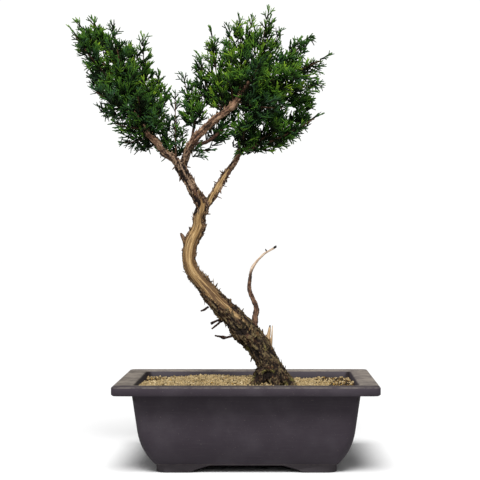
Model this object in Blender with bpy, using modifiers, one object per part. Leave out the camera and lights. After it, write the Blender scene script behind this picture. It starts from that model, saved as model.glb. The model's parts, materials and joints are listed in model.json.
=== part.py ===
"""A juniper bonsai in a moulded plastic training pot.

Metres, +Z up. The pot's long side runs along X and its front faces -Y. The pot stands on its four
corner feet, and the origin ends up on the ground under the middle of the whole plant's bounding box.
Everything is modelled round the pot's own centre first, and the empty that carries the pieces then
moves them all to that origin.

The tree's points are in millimetres from the trunk's foot, which is where it leaves the grit.
"""

import math

import bmesh
import bpy
import numpy as np
from mathutils import Vector, noise
from mathutils.bvhtree import BVHTree

MM = 0.001

# Clearances between neighbouring pieces.
GAP = 0.0003
LEAF_GAP = 0.0008

# Pot: the rim is its widest place.
RIM_LENGTH = 0.245
RIM_WIDTH = 0.185
POT_HEIGHT = 0.083
FLANGE_WIDTH = 0.0185
FLANGE_THICKNESS = 0.003
LIP_HEIGHT = 0.0083
LIP_THICKNESS = 0.003
RIM_CORNER = 0.005
RIM_ROUNDING = 0.0013
WALL = 0.003
WALL_TAPER = math.radians(7.8)
BODY_CORNER = 0.009
BELLY_RADIUS = 0.060
BELLY_END = math.radians(42)
FLOOR = 0.003
FOOT_HEIGHT = 0.007
FOOT_STEP = 0.0015
FOOT_WALL = 0.004
FOOT_REACH = 0.032
ARCH_RUN = 0.019
ARCH_WEB = 0.0006
ARCH_CURVE = 0.75
DRAIN_DIAMETER = 0.022
DRAIN_SPACING = 0.090

# Drainage screens: square plates of crossed strands over the drain holes.
SCREEN_SIDE = 0.034
SCREEN_THICKNESS = 0.0012
SCREEN_CELLS = 7

# Potting mix and the grit on it.
GRIT_DROP = 0.006
GRIT_THICKNESS = 0.014
GRIT_ROUGHNESS = 0.0007
GRIT_WAVE = 0.0042
GRIT_COLUMNS = 25
GRIT_ROWS = 19
# Heaps and hollows in the grit: x, y from the pot's centre, height, spread.
GRIT_HEAPS = (
    (0.015, -0.008, 0.0075, 0.030),
    (-0.040, 0.008, 0.0070, 0.034),
    (-0.075, -0.030, 0.0030, 0.025),
    (-0.098, 0.045, -0.0030, 0.022),
    (0.055, 0.030, -0.0030, 0.030),
    (0.090, 0.005, 0.0040, 0.014),
)

# Tree: where the trunk's foot is, how far it rises above the level grit, and how high the leaves
# reach above it.
TRUNK_X = 0.023
TRUNK_Y = -0.018
TRUNK_RISE = 0.007
TREE_HEIGHT = 0.357
DRAWN_HEIGHT = 0.357
TRUNK_GIRTH = 1.0
FOLIAGE_FULLNESS = 1.0

# Each limb: points as x, y, z and radius, in millimetres from the trunk's foot.
TRUNK = (
    (1, 3, -26, 5),
    (1, 1, -10, 10),
    (-1, 0, 3, 12.6),
    (-2, 0, 10, 11.6),
    (-6, 0, 20, 11),
    (-13, 2, 33, 11.4),
    (-27, 5, 46, 12),
    (-35, 8, 57, 10.5),
    (-46, 11, 67, 9.8),
    (-56, 14, 77, 9),
    (-64, 16, 87, 7.6),
    (-73, 18, 97, 7),
    (-79, 20, 109, 6.8),
    (-80, 21, 120, 6.8),
    (-77, 22, 133, 7.2),
    (-70, 21, 144, 6.8),
    (-70, 19, 156, 6),
    (-66, 18, 166, 6.6),
    (-73, 16, 177, 5.3),
    (-79, 15, 188, 5.2),
    (-84, 14, 196, 5.2),
    (-88, 13, 204, 5.4),
    (-90, 13, 209, 3),
)
ROOTS = (
    ((-1, -1, 17, 8), (-7, -8, 5, 7.5), (-14, -14, -3, 5.5), (-23, -20, -14, 2)),
    ((0, -2, 15, 8), (8, -9, 4, 6.5), (17, -14, -4, 5), (28, -20, -13, 2)),
    ((0, -3, 12, 8), (3, -12, 3, 6.5), (5, -20, -6, 4), (7, -28, -14, 2)),
    ((1, 2, 15, 8), (9, 8, 4, 6.5), (19, 15, -6, 4.8), (29, 23, -16, 2)),
    ((-2, 3, 16, 9), (-9, 12, 3, 7.5), (-15, 20, -6, 5), (-21, 29, -17, 2)),
)
LIMBS = {
    "left_branch": (
        (-88, 13, 203, 4),
        (-95, 11, 212, 3.9),
        (-104, 8, 217, 3.4),
        (-110, 5, 227, 3.1),
        (-116, 3, 232, 2.9),
        (-121, 2, 239, 2.4),
        (-127, 0, 249, 1.7),
        (-133, 0, 260, 1.4),
        (-141, 2, 273, 1),
    ),
    "right_branch": (
        (-86, 14, 201, 3.6),
        (-84, 13, 208, 4),
        (-81, 10, 217, 3.9),
        (-74, 6, 229, 3.8),
        (-65, 3, 238, 3.8),
        (-56, 0, 246, 3.6),
        (-45, -3, 254, 3.3),
        (-34, -5, 263, 3.3),
        (-24, -4, 279, 2.6),
        (-18, -2, 289, 1.8),
        (-12, 0, 301, 1.1),
    ),
    "side_branch": (
        (-68, 18, 164, 4),
        (-62, 18, 168, 3.9),
        (-54, 17, 179, 3.9),
        (-46, 16, 193, 3.4),
        (-42, 15, 199, 3.1),
        (-35, 14, 208, 2.9),
        (-32, 14, 214, 2.5),
        (-29, 14, 219, 2.4),
        (-21, 14, 222, 1.9),
        (-13, 13, 225, 1.4),
    ),
    "dead_branch": (
        (-17, 4, 42, 3.7),
        (-15, 4, 60, 2.8),
        (-14, 5, 67, 2.5),
        (-18, 6, 77, 2.2),
        (-21, 7, 86, 2),
        (-20, 8, 99, 1.6),
        (-18, 9, 106, 1.4),
        (-13, 10, 113, 1.2),
        (-7, 10, 119, 1.1),
        (-2, 10, 122, 1),
        (5, 10, 126, 0.9),
    ),
    "low_twig": ((-75, 6, 226, 2), (-69, 5, 225, 1.8), (-59, 2, 228, 1.7), (-47, -2, 238, 1.2)),
    "middle_twig": ((-76, 7, 231, 1.3), (-75, 9, 238, 1.2), (-73, 16, 252, 1.1), (-67, 22, 267, 0.9)),
    "upper_twig": ((-46, -3, 251, 1.3), (-48, -1, 258, 1.2), (-46, 2, 272, 0.9)),
    "side_twig": ((-33, 14, 213, 1.6), (-32, 14, 219, 1.4), (-29, 12, 229, 1)),
    "snag": ((-4, 2, 28, 2.6), (-3, 2, 36, 2.3), (-2, 2, 43, 1.8), (-1, 2, 51, 0.5)),
    "dead_twig_1": ((-56, 13, 72, 1.1), (-62, 12, 67, 1), (-65, 11, 65, 1), (-68, 10, 64, 0.8)),
    "dead_twig_2": ((-42, 9, 58, 1.1), (-49, 8, 56, 1), (-54, 7, 54, 1.1), (-58, 6, 52, 1.3)),
    "dead_twig_3": ((-40, 7, 55, 1), (-48, 7, 54, 0.9), (-52, 6, 51, 0.9), (-57, 5, 47, 0.7)),
    "bud_twig": (
        (-28, 4, 42, 1),
        (-38, 4, 40, 0.9),
        (-43, 2, 39, 1.2),
        (-46, 2, 39, 1.8),
        (-49, 1, 40, 1),
        (-54, 0, 41, 0.6),
    ),
}
BARK = ("left_branch", "right_branch", "side_branch", "low_twig", "middle_twig", "upper_twig")

# Each leafy spray: where it starts, where its tip is, and its greatest radius, in millimetres from the
# trunk's foot. The groups follow the branches that carry them.
SPRAYS = {
    "left_spray": (
        ((-139, 2, 270), (-192, 6, 336), 11),
        ((-136, 2, 266), (-175, 30, 350), 13),
        ((-132, 0, 258), (-152, -12, 339), 13),
        ((-127, 1, 250), (-141, 50, 331), 12),
        ((-127, 0, 249), (-126, 8, 333), 15),
        ((-121, 3, 240), (-111, 36, 306), 11),
        ((-116, 4, 234), (-101, 8, 283), 9),
        ((-134, 1, 262), (-184, 42, 312), 11),
        ((-129, -2, 252), (-170, -24, 278), 10),
        ((-124, 2, 244), (-168, 38, 266), 10),
        ((-121, 0, 238), (-149, -27, 243), 9),
        ((-114, 3, 230), (-144, -2, 226), 7),
        ((-110, 7, 225), (-130, 24, 224), 6),
        ((-122, -1, 242), (-124, -40, 270), 13),
        ((-118, 5, 236), (-133, 76, 295), 13),
        ((-136, 3, 264), (-188, 18, 346), 12),
    ),
    "middle_spray": (
        ((-92, 14, 209), (-95, 38, 281), 10),
        ((-97, 12, 213), (-113, 58, 255), 9),
        ((-74, 9, 232), (-79, 30, 311), 13),
        ((-60, 8, 247), (-70, 36, 314), 14),
    ),
    "right_spray": (
        ((-47, -1, 253), (-58, 8, 338), 10),
        ((-40, -2, 259), (-41, 30, 340), 11),
        ((-30, -4, 270), (-31, -4, 344), 12),
        ((-18, -1, 290), (-1, 6, 354), 13),
        ((-20, -2, 285), (10, 33, 339), 11),
        ((-21, -3, 283), (39, 18, 330), 13),
        ((-24, -5, 276), (55, -12, 308), 15),
        ((-27, -3, 273), (52, 40, 288), 12),
        ((-28, -7, 270), (-8, -44, 301), 13),
        ((-38, -1, 261), (-35, 73, 309), 14),
        ((-30, -1, 268), (9, 73, 294), 13),
        ((-34, -7, 262), (17, -32, 257), 14),
        ((-24, -2, 284), (-19, 16, 349), 11),
    ),
    "side_spray": (
        ((-16, 13, 224), (42, 20, 270), 16),
        ((-14, 13, 225), (46, -4, 252), 10),
        ((-17, 14, 224), (27, 26, 242), 8),
        ((-20, 13, 221), (10, 8, 225), 6),
        ((-26, 15, 221), (-19, 60, 255), 12),
        ((-27, 12, 221), (-25, -28, 249), 12),
    ),
    "low_spray": (
        ((-80, 11, 216), (-54, 6, 220), 8),
        ((-60, 4, 231), (-33, 18, 255), 14),
    ),
}
# A spray's form: the radius at its ends in millimetres, how far it bows, where it is fullest, how blunt
# it is, and the height and size of its lumps as shares of its radius.
SPRAY_END = 0.8
SPRAY_BOW = 0.07
SPRAY_PEAK = 0.75
SPRAY_BLUNTNESS = 0.7
SPRAY_LUMPS = 0.16
SPRAY_LUMP_SIZE = 0.9

# How finely the round forms are divided. A limb's sides are four more than twice the number.
CORNER_STEPS = 4
BELLY_STEPS = 7
EDGE_STEPS = 2
ARCH_STEPS = 6
DRAIN_SIDES = 20
LIMB_STEPS = 2
TRUNK_SIDES = 3
LIMB_SIDES = 2
SPRAY_SIDES = 3
SPRAY_RINGS = 9

# Edges sharper than these stay sharp in smooth shading, in degrees.
MOULDED_EDGE = 25
GROWN_EDGE = 60

# Points nearer than these are one point: a curve's caps, and the slivers that a cut leaves.
WELD = 0.00001
SLIVER = 0.000002

PLASTIC = ((0.050, 0.040, 0.048), 0.55)
SCREEN_PLASTIC = ((0.02, 0.02, 0.02), 0.6)
SOIL = ((0.055, 0.036, 0.022), 0.95)
GRIT = ((0.38, 0.29, 0.15), 0.9)
WOOD = ((0.14, 0.085, 0.05), 0.85)
BARE_WOOD = ((0.55, 0.42, 0.28), 0.75)
TWIG = ((0.07, 0.045, 0.03), 0.85)
LEAF = ((0.035, 0.12, 0.03), 0.65)


def clear_scene():
    """Remove every object, so that the model starts from nothing."""
    for old in list(bpy.data.objects):
        bpy.data.objects.remove(old)


def new_collection(name):
    made = bpy.data.collections.new(name)
    bpy.context.scene.collection.children.link(made)
    return made


def finish(name, colour, roughness):
    """A plain material of the piece's own colour."""
    material = bpy.data.materials.new(name)
    material.use_nodes = True
    shader = material.node_tree.nodes["Principled BSDF"]
    shader.inputs["Base Color"].default_value = (*colour, 1)
    shader.inputs["Roughness"].default_value = roughness
    shader.inputs["Metallic"].default_value = 0
    return material


def add_piece(name, mesh, look, collection):
    """Put a mesh into the model as a named piece with its own material."""
    piece = bpy.data.objects.new(name, mesh)
    mesh.materials.clear()
    mesh.materials.append(finish(name, *look))
    collection.objects.link(piece)
    return piece


def add_cutter(name, mesh, collection):
    """Put a mesh into the scene as a cutter, which isn't part of the model."""
    cutter = bpy.data.objects.new(name, mesh)
    cutter.hide_render = True
    cutter.display_type = "WIRE"
    collection.objects.link(cutter)
    return cutter


def add_boolean(piece, other, operation="DIFFERENCE", solver="EXACT"):
    modifier = piece.modifiers.new(other.name, "BOOLEAN")
    modifier.operation = operation
    modifier.solver = solver
    modifier.object = other


def mesh_from(bm, name):
    """Turn a bmesh into a mesh whose faces point outwards."""
    bmesh.ops.recalc_face_normals(bm, faces=bm.faces)
    mesh = bpy.data.meshes.new(name)
    bm.to_mesh(mesh)
    bm.free()
    return mesh


def shade(piece, angle):
    """Smooth shading that keeps edges sharper than the angle, given in degrees."""
    piece.data.shade_smooth()
    piece.data.set_sharp_from_angle(angle=math.radians(angle))


# Lofts and outlines


def rounded_rectangle(half_x, half_y, radius, z):
    """The points of a rectangle with round corners, anticlockwise from above."""
    points = []
    for corner, (side_x, side_y) in enumerate(((1, 1), (-1, 1), (-1, -1), (1, -1))):
        for step in range(CORNER_STEPS + 1):
            angle = (corner + step / CORNER_STEPS) * math.pi / 2
            x = side_x * (half_x - radius) + radius * math.cos(angle)
            y = side_y * (half_y - radius) + radius * math.sin(angle)
            points.append(Vector((x, y, z)))
    return points


def loft(sections, name):
    """A closed body through sections of equal counts of points, flat at both ends."""
    bm = bmesh.new()
    rings = [[bm.verts.new(point) for point in section] for section in sections]
    for lower, upper in zip(rings, rings[1:]):
        for i in range(len(lower)):
            bm.faces.new((lower[i - 1], lower[i], upper[i], upper[i - 1]))
    bm.faces.new(rings[0])
    bm.faces.new(rings[-1])
    return mesh_from(bm, name)


def round_edge(inset, z):
    """The rim's outer edge from its side to its top, as insets and heights round the given centre."""
    points = []
    for step in range(EDGE_STEPS + 1):
        angle = step / EDGE_STEPS * math.pi / 2
        points.append((inset - RIM_ROUNDING * math.cos(angle), z + RIM_ROUNDING * math.sin(angle)))
    return points


# Pot


def belly_top():
    """The height at which the straight wall starts to curve in."""
    return FOOT_HEIGHT + BELLY_RADIUS * (math.sin(BELLY_END) - math.sin(WALL_TAPER))


def wall_inset(z):
    """How far the pot's outer wall stands in from the rim's edge, at a height."""
    straight_to = max(z, belly_top())
    inset = FLANGE_WIDTH - WALL + math.tan(WALL_TAPER) * (POT_HEIGHT - straight_to)
    sine = math.sin(WALL_TAPER) + (straight_to - z) / BELLY_RADIUS
    return inset + BELLY_RADIUS * (math.cos(WALL_TAPER) - math.sqrt(1 - sine * sine))


def wall_heights(low, high):
    """Heights from low to high, close together round the belly and one at its top."""
    belly = belly_top()
    heights = [low + (belly - low) * step / BELLY_STEPS for step in range(BELLY_STEPS + 1)]
    return [z for z in heights if z < high] + [high]


def pot_section(inset, z, corner):
    return rounded_rectangle(RIM_LENGTH / 2 - inset, RIM_WIDTH / 2 - inset, corner, z)


def inner_section(z, gap):
    """A section of the hollow of the pot, smaller by the gap on every side."""
    return pot_section(wall_inset(z) + WALL + gap, z, BODY_CORNER - WALL)


def floor_top():
    return FOOT_HEIGHT + FLOOR


def foot_inset():
    return wall_inset(FOOT_HEIGHT) + FOOT_STEP


def pot_mesh():
    """The pot in one loft: under its floor, round the foot, up outside, over the rim, down inside."""
    under_flange = POT_HEIGHT - FLANGE_THICKNESS
    lip_bottom = POT_HEIGHT - LIP_HEIGHT
    foot = foot_inset()
    sections = [
        pot_section(foot + FOOT_WALL, FOOT_HEIGHT, BODY_CORNER - FOOT_WALL),
        pot_section(foot + FOOT_WALL, 0, BODY_CORNER - FOOT_WALL),
        pot_section(foot, 0, BODY_CORNER),
        pot_section(foot, FOOT_HEIGHT, BODY_CORNER),
    ]
    for z in wall_heights(FOOT_HEIGHT, under_flange):
        sections.append(pot_section(wall_inset(z), z, BODY_CORNER))
    lip = [(LIP_THICKNESS, under_flange), (LIP_THICKNESS, lip_bottom)]
    lip += [(RIM_ROUNDING, lip_bottom), (0, lip_bottom + RIM_ROUNDING)]
    lip += round_edge(RIM_ROUNDING, POT_HEIGHT - RIM_ROUNDING)
    for inset, z in lip:
        sections.append(pot_section(inset, z, RIM_CORNER))
    inner_edge = FLANGE_WIDTH - RIM_ROUNDING
    sections.append(pot_section(inner_edge, POT_HEIGHT, BODY_CORNER - WALL))
    for z in reversed(wall_heights(floor_top(), POT_HEIGHT - RIM_ROUNDING)):
        sections.append(inner_section(z, 0))
    return loft(sections, "pot")


def arch_outline(half_length):
    """Half of an arch's outline: it springs from the ground steeply and levels out."""
    top = FOOT_HEIGHT - ARCH_WEB
    points = [(half_length, -top), (half_length, 0)]
    for step in range(1, ARCH_STEPS + 1):
        share = step / ARCH_STEPS
        points.append((half_length - ARCH_RUN * share, top * share**ARCH_CURVE))
    return points


def arch_mesh(half_length, half_depth, name):
    """A cutter for the arches of two opposite sides, running right through the foot."""
    half = arch_outline(half_length)
    outline = half + [(-x, z) for x, z in reversed(half)]
    bm = bmesh.new()
    face = bm.faces.new([bm.verts.new((x, -half_depth, z)) for x, z in outline])
    moved = bmesh.ops.extrude_face_region(bm, geom=[face])["geom"]
    away = [item for item in moved if isinstance(item, bmesh.types.BMVert)]
    bmesh.ops.translate(bm, verts=away, vec=(0, 2 * half_depth, 0))
    return mesh_from(bm, name)


def build_pot(parts, cutters):
    pot = add_piece("pot", pot_mesh(), PLASTIC, parts)
    shade(pot, MOULDED_EDGE)
    half_x = RIM_LENGTH / 2 - foot_inset()
    half_y = RIM_WIDTH / 2 - foot_inset()
    through_y = add_cutter("arches_front", arch_mesh(half_x - FOOT_REACH, RIM_WIDTH, "arch"), cutters)
    through_x = add_cutter("arches_side", arch_mesh(half_y - FOOT_REACH, RIM_LENGTH, "arch"), cutters)
    through_x.rotation_euler.z = math.pi / 2
    for cutter in (through_y, through_x):
        add_boolean(pot, cutter)
    for side in (-1, 1):
        bm = bmesh.new()
        bmesh.ops.create_cone(
            bm,
            cap_ends=True,
            segments=DRAIN_SIDES,
            radius1=DRAIN_DIAMETER / 2,
            radius2=DRAIN_DIAMETER / 2,
            depth=4 * FLOOR,
        )
        hole = add_cutter("drain_hole", mesh_from(bm, "drain_hole"), cutters)
        hole.location = (side * DRAIN_SPACING / 2, 0, floor_top() - FLOOR / 2)
        add_boolean(pot, hole)
    return pot


def build_screens(parts):
    """A screen over each drain hole, with every other cell of its grid open."""
    middle = SCREEN_CELLS // 2
    for side, name in ((-1, "drainage_screen_left"), (1, "drainage_screen_right")):
        bm = bmesh.new()
        bmesh.ops.create_grid(bm, x_segments=SCREEN_CELLS, y_segments=SCREEN_CELLS, size=SCREEN_SIDE / 2)
        pitch = SCREEN_SIDE / SCREEN_CELLS
        holes = []
        for face in bm.faces:
            centre = face.calc_center_median()
            column = round(centre.x / pitch) + middle
            row = round(centre.y / pitch) + middle
            if column % 2 and row % 2:
                holes.append(face)
        bmesh.ops.delete(bm, geom=holes, context="FACES")
        mesh = bpy.data.meshes.new(name)
        bm.to_mesh(mesh)
        bm.free()
        screen = add_piece(name, mesh, SCREEN_PLASTIC, parts)
        screen.location = (side * DRAIN_SPACING / 2, 0, floor_top() + GAP)
        solid = screen.modifiers.new("thickness", "SOLIDIFY")
        solid.thickness = SCREEN_THICKNESS
        solid.offset = 1


# Soil and grit


def soil_top():
    return POT_HEIGHT - GRIT_DROP - GRIT_THICKNESS


def grit_height(x, y):
    """The height of the grit's uneven surface at a place in the pot."""
    z = POT_HEIGHT - GRIT_DROP
    for heap_x, heap_y, height, spread in GRIT_HEAPS:
        away = ((x - heap_x) ** 2 + (y - heap_y) ** 2) / spread**2
        z += height * math.exp(-away)
    return z + GRIT_ROUGHNESS * noise.noise(Vector((x, y, 0)) / GRIT_WAVE)


def build_soil(parts, cutters, roots):
    """The potting mix: it fills the pot to under the grit, round the screens and the roots."""
    low = floor_top() + GAP
    sections = [inner_section(z, GAP) for z in wall_heights(low, soil_top())]
    soil = add_piece("root_soil", loft(sections, "root_soil"), SOIL, parts)
    add_boolean(soil, roots)
    side = SCREEN_SIDE + 2 * GAP
    height = SCREEN_THICKNESS + 2 * GAP
    for end in (-1, 1):
        bm = bmesh.new()
        bmesh.ops.create_cube(bm, size=1)
        bmesh.ops.scale(bm, vec=(side, side, 2 * height), verts=bm.verts)
        pocket = add_cutter("screen_pocket", mesh_from(bm, "screen_pocket"), cutters)
        pocket.location = (end * DRAIN_SPACING / 2, 0, floor_top())
        add_boolean(soil, pocket)


def build_grit(parts, cutters, roots):
    """The loose grit: a slab with an uneven top, kept inside the pot's walls."""
    bm = bmesh.new()
    bmesh.ops.create_grid(bm, x_segments=GRIT_COLUMNS, y_segments=GRIT_ROWS, size=1)
    bmesh.ops.scale(bm, vec=(RIM_LENGTH / 2, RIM_WIDTH / 2, 1), verts=bm.verts)
    base = soil_top() - GRIT_THICKNESS / 2
    for vert in bm.verts:
        vert.co.z = grit_height(vert.co.x, vert.co.y)
    edge = [side for side in bm.edges if side.is_boundary]
    skirt = bmesh.ops.extrude_edge_only(bm, edges=edge)["geom"]
    lower = [item for item in skirt if isinstance(item, bmesh.types.BMVert)]
    for vert in lower:
        vert.co.z = base
    bottom = [item for item in skirt if isinstance(item, bmesh.types.BMEdge)]
    bmesh.ops.edgeloop_fill(bm, edges=bottom)
    grit = add_piece("top_grit", mesh_from(bm, "top_grit"), GRIT, parts)
    low = soil_top() + GAP
    sections = [inner_section(low, GAP), inner_section(POT_HEIGHT, GAP)]
    sections.append(pot_section(FLANGE_WIDTH + GAP, 2 * POT_HEIGHT, BODY_CORNER - WALL))
    inside = add_cutter("pot_inside", loft(sections, "pot_inside"), cutters)
    add_boolean(grit, inside, "INTERSECT")
    add_boolean(grit, roots)


# Tree


def tree_scale():
    """Metres for each millimetre of the tree's own points."""
    return MM * TREE_HEIGHT / DRAWN_HEIGHT


def in_tree(point):
    """A place given from the trunk's foot, in the pot's own frame."""
    foot = Vector((TRUNK_X, TRUNK_Y, POT_HEIGHT - GRIT_DROP + TRUNK_RISE))
    return foot + Vector(point[:3]) * tree_scale()


def curve_through(points, count):
    """Values read evenly from a smooth curve through the points (Catmull-Rom)."""
    ends = [points[0]] + list(points) + [points[-1]]
    spans = len(points) - 1
    found = []
    for step in range(count):
        at = step / (count - 1) * spans
        span = min(int(at), spans - 1)
        t = at - span
        a, b, c, d = ends[span : span + 4]
        found.append(
            tuple(
                0.5
                * (
                    2 * q
                    + (r - p) * t
                    + (2 * p - 5 * q + 4 * r - s) * t**2
                    + (3 * q - p - 3 * r + s) * t**3
                )
                for p, q, r, s in zip(a, b, c, d)
            )
        )
    return found


def tube_mesh(places, radii, sides, name):
    """A round tube with capped ends through places, made from a curve with a bevel."""
    data = bpy.data.curves.new(name, "CURVE")
    data.dimensions = "3D"
    data.bevel_depth = 1
    data.bevel_resolution = sides
    data.use_fill_caps = True
    spline = data.splines.new("POLY")
    spline.points.add(len(places) - 1)
    for point, place, radius in zip(spline.points, places, radii):
        point.co = (*place, 1)
        point.radius = radius
    curve = bpy.data.objects.new(name, data)
    bpy.context.scene.collection.objects.link(curve)
    graph = bpy.context.evaluated_depsgraph_get()
    mesh = bpy.data.meshes.new_from_object(curve.evaluated_get(graph))
    bpy.data.objects.remove(curve)
    bm = bmesh.new()
    bm.from_mesh(mesh)
    bmesh.ops.remove_doubles(bm, verts=bm.verts, dist=WELD)
    return mesh_from(bm, name)


def limb_mesh(points, sides, extra, name):
    """A tapering limb. Extra is added to its radius all along."""
    count = LIMB_STEPS * len(points)
    drawn = curve_through(points, count)
    places = [in_tree(point) for point in drawn]
    radii = [point[3] * tree_scale() + extra for point in drawn]
    return tube_mesh(places, radii, sides, name)


def thicker(points):
    """The same points with the trunk's girth applied to their radii."""
    return tuple((x, y, z, radius * TRUNK_GIRTH) for x, y, z, radius in points)


def trunk_body(extra, collection, cutters):
    """The trunk joined with its roots, as one body. Extra is added to all its radii."""
    trunk = add_cutter("trunk_body", limb_mesh(thicker(TRUNK), TRUNK_SIDES, extra, "trunk"), collection)
    for root in ROOTS:
        limb = limb_mesh(thicker(root), LIMB_SIDES, extra, "root")
        add_boolean(trunk, add_cutter("root", limb, cutters), "UNION")
    settle(trunk)
    return trunk


def settle(piece):
    """Apply the piece's modifiers and keep only the largest body that they leave."""
    graph = bpy.context.evaluated_depsgraph_get()
    mesh = bpy.data.meshes.new_from_object(piece.evaluated_get(graph))
    piece.modifiers.clear()
    bm = bmesh.new()
    bm.from_mesh(mesh)
    bodies = bodies_of(bm)
    largest = max(bodies, key=volume_of)
    loose = [face for body in bodies if body is not largest for face in body]
    bmesh.ops.delete(bm, geom=loose, context="FACES")
    bmesh.ops.remove_doubles(bm, verts=bm.verts, dist=SLIVER)
    bmesh.ops.dissolve_degenerate(bm, edges=bm.edges, dist=SLIVER)
    bm.to_mesh(mesh)
    bm.free()
    piece.data = mesh


def bodies_of(bm):
    """The mesh's faces, grouped into the separate bodies that they make."""
    left = set(bm.faces)
    bodies = []
    while left:
        body = []
        queue = [left.pop()]
        while queue:
            face = queue.pop()
            body.append(face)
            for edge in face.edges:
                for other in edge.link_faces:
                    if other in left:
                        left.remove(other)
                        queue.append(other)
        bodies.append(body)
    return bodies


def volume_of(faces):
    """The volume that a closed group of faces holds."""
    total = 0
    for face in faces:
        corners = [vert.co for vert in face.verts]
        for second, third in zip(corners[1:], corners[2:]):
            total += corners[0].dot(second.cross(third)) / 6
    return abs(total)


def boxes_meet(one, other):
    """Whether two objects' boxes touch. Both stand at the pot's centre, unturned."""
    for axis in range(3):
        low = max(min(corner[axis] for corner in thing.bound_box) for thing in (one, other))
        high = min(max(corner[axis] for corner in thing.bound_box) for thing in (one, other))
        if low > high:
            return False
    return True


def fit_round(piece, neighbours, solver="EXACT"):
    """Cut the piece back from each neighbour's enlarged copy, then settle it."""
    for neighbour in neighbours:
        if boxes_meet(piece, neighbour):
            add_boolean(piece, neighbour, solver=solver)
    settle(piece)


def build_wood(parts, cutters):
    """The trunk, then each limb cut back from what it grows from. Returns enlarged copies of all."""
    trunk = trunk_body(0, cutters, cutters)
    taken = [trunk_body(GAP, cutters, cutters)]
    add_piece("trunk", trunk.data, WOOD, parts)
    bpy.data.objects.remove(trunk)
    shade(parts.objects["trunk"], GROWN_EDGE)
    for name, points in LIMBS.items():
        look = WOOD if name in BARK else TWIG
        look = BARE_WOOD if name in ("dead_branch", "snag") else look
        limb = add_piece(name, limb_mesh(points, LIMB_SIDES, 0, name), look, parts)
        fit_round(limb, taken)
        shade(limb, GROWN_EDGE)
        around = limb_mesh(points, LIMB_SIDES, GAP, name)
        taken.append(add_cutter(f"{name}_clearance", around, cutters))
    return taken


def fullness(share):
    """A spray's radius along its length, as a share of its greatest."""
    return math.sin(math.pi * share**SPRAY_PEAK) ** SPRAY_BLUNTNESS


def spray_mesh(start, tip, radius, name):
    """A leafy spray: a plume that bows upwards to its tip, with a lumpy surface."""
    root = in_tree(start)
    end = in_tree(tip)
    length = (end - root).length
    greatest = radius * FOLIAGE_FULLNESS * tree_scale()
    places = []
    radii = []
    for ring in range(SPRAY_RINGS):
        share = ring / (SPRAY_RINGS - 1)
        place = root.lerp(end, share)
        place.z -= SPRAY_BOW * length * math.sin(math.pi * share)
        places.append(place)
        radii.append(greatest * fullness(share) + SPRAY_END * MM)
    mesh = tube_mesh(places, radii, SPRAY_SIDES, name)
    for vert in mesh.vertices:
        swell = noise.noise(vert.co / (SPRAY_LUMP_SIZE * greatest))
        vert.co += vert.normal * SPRAY_LUMPS * greatest * swell
    return mesh


def surface_tree(piece):
    bm = bmesh.new()
    bm.from_mesh(piece.data)
    tree = BVHTree.FromBMesh(bm)
    bm.free()
    return tree


def plane_between(one, other):
    """The plane that parts two overlapping sprays and cuts least off them.

    Returns its normal, which points to the first spray, and its distance from the origin along it.
    """
    reach = [np.array([vert.co for vert in spray.data.vertices]) for spray in (one, other)]
    centres = Vector(reach[0].mean(axis=0) - reach[1].mean(axis=0)).normalized()
    ends = [Vector(points[-1] - points[0]).normalized() for points in reach]
    lean = (ends[0] - ends[1]).normalized()
    across = ends[0].cross(ends[1]).normalized()
    if across.dot(centres) < 0:
        across.negate()
    best = None
    for normal in (centres, lean, across, centres + lean, centres + across, lean + across):
        normal = normal.normalized()
        near = reach[0] @ np.array(normal)
        far = reach[1] @ np.array(normal)
        level = (near.min() + far.max()) / 2
        lost = np.maximum(level - near, 0).sum() + np.maximum(far - level, 0).sum()
        if best is None or lost < best[0]:
            best = (lost, normal, level)
    return best[1], best[2]


def trim(spray, normal, level):
    """Cut off what lies behind a plane, and close the cut."""
    bm = bmesh.new()
    bm.from_mesh(spray.data)
    bmesh.ops.bisect_plane(
        bm,
        geom=bm.verts[:] + bm.edges[:] + bm.faces[:],
        plane_co=normal * level,
        plane_no=normal,
        clear_inner=True,
    )
    bmesh.ops.holes_fill(bm, edges=[edge for edge in bm.edges if edge.is_boundary])
    bm.to_mesh(spray.data)
    bm.free()


def build_sprays(parts, taken):
    """The sprays, parted by planes where they overlap, and cut back from the wood."""
    sprays = []
    for group, drawn in SPRAYS.items():
        for number, (start, tip, radius) in enumerate(drawn, 1):
            name = f"{group}_{number:02d}"
            sprays.append(add_piece(name, spray_mesh(start, tip, radius, name), LEAF, parts))
    trees = [surface_tree(spray) for spray in sprays]
    cuts = []
    for first, one in enumerate(sprays):
        for second in range(first):
            if trees[first].overlap(trees[second]):
                normal, level = plane_between(one, sprays[second])
                cuts.append((one, normal, level + LEAF_GAP / 2))
                cuts.append((sprays[second], -normal, LEAF_GAP / 2 - level))
    for spray, normal, level in cuts:
        trim(spray, normal, level)
    for spray in sprays:
        settle(spray)
        fit_round(spray, taken, "MANIFOLD")
        shade(spray, GROWN_EDGE)


def stand_on_origin(parts, cutters):
    """Hang every piece on one empty, and move it so that the origin is under the box's middle."""
    bpy.context.view_layer.update()
    corners = [piece.matrix_world @ Vector(corner) for piece in parts.objects for corner in piece.bound_box]
    lowest = [min(corner[axis] for corner in corners) for axis in range(3)]
    highest = [max(corner[axis] for corner in corners) for axis in range(3)]
    empty = bpy.data.objects.new("bonsai_origin", None)
    bpy.context.scene.collection.objects.link(empty)
    for piece in list(parts.objects) + list(cutters.objects):
        piece.parent = empty
    empty.location = (-(lowest[0] + highest[0]) / 2, -(lowest[1] + highest[1]) / 2, -lowest[2])


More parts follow.
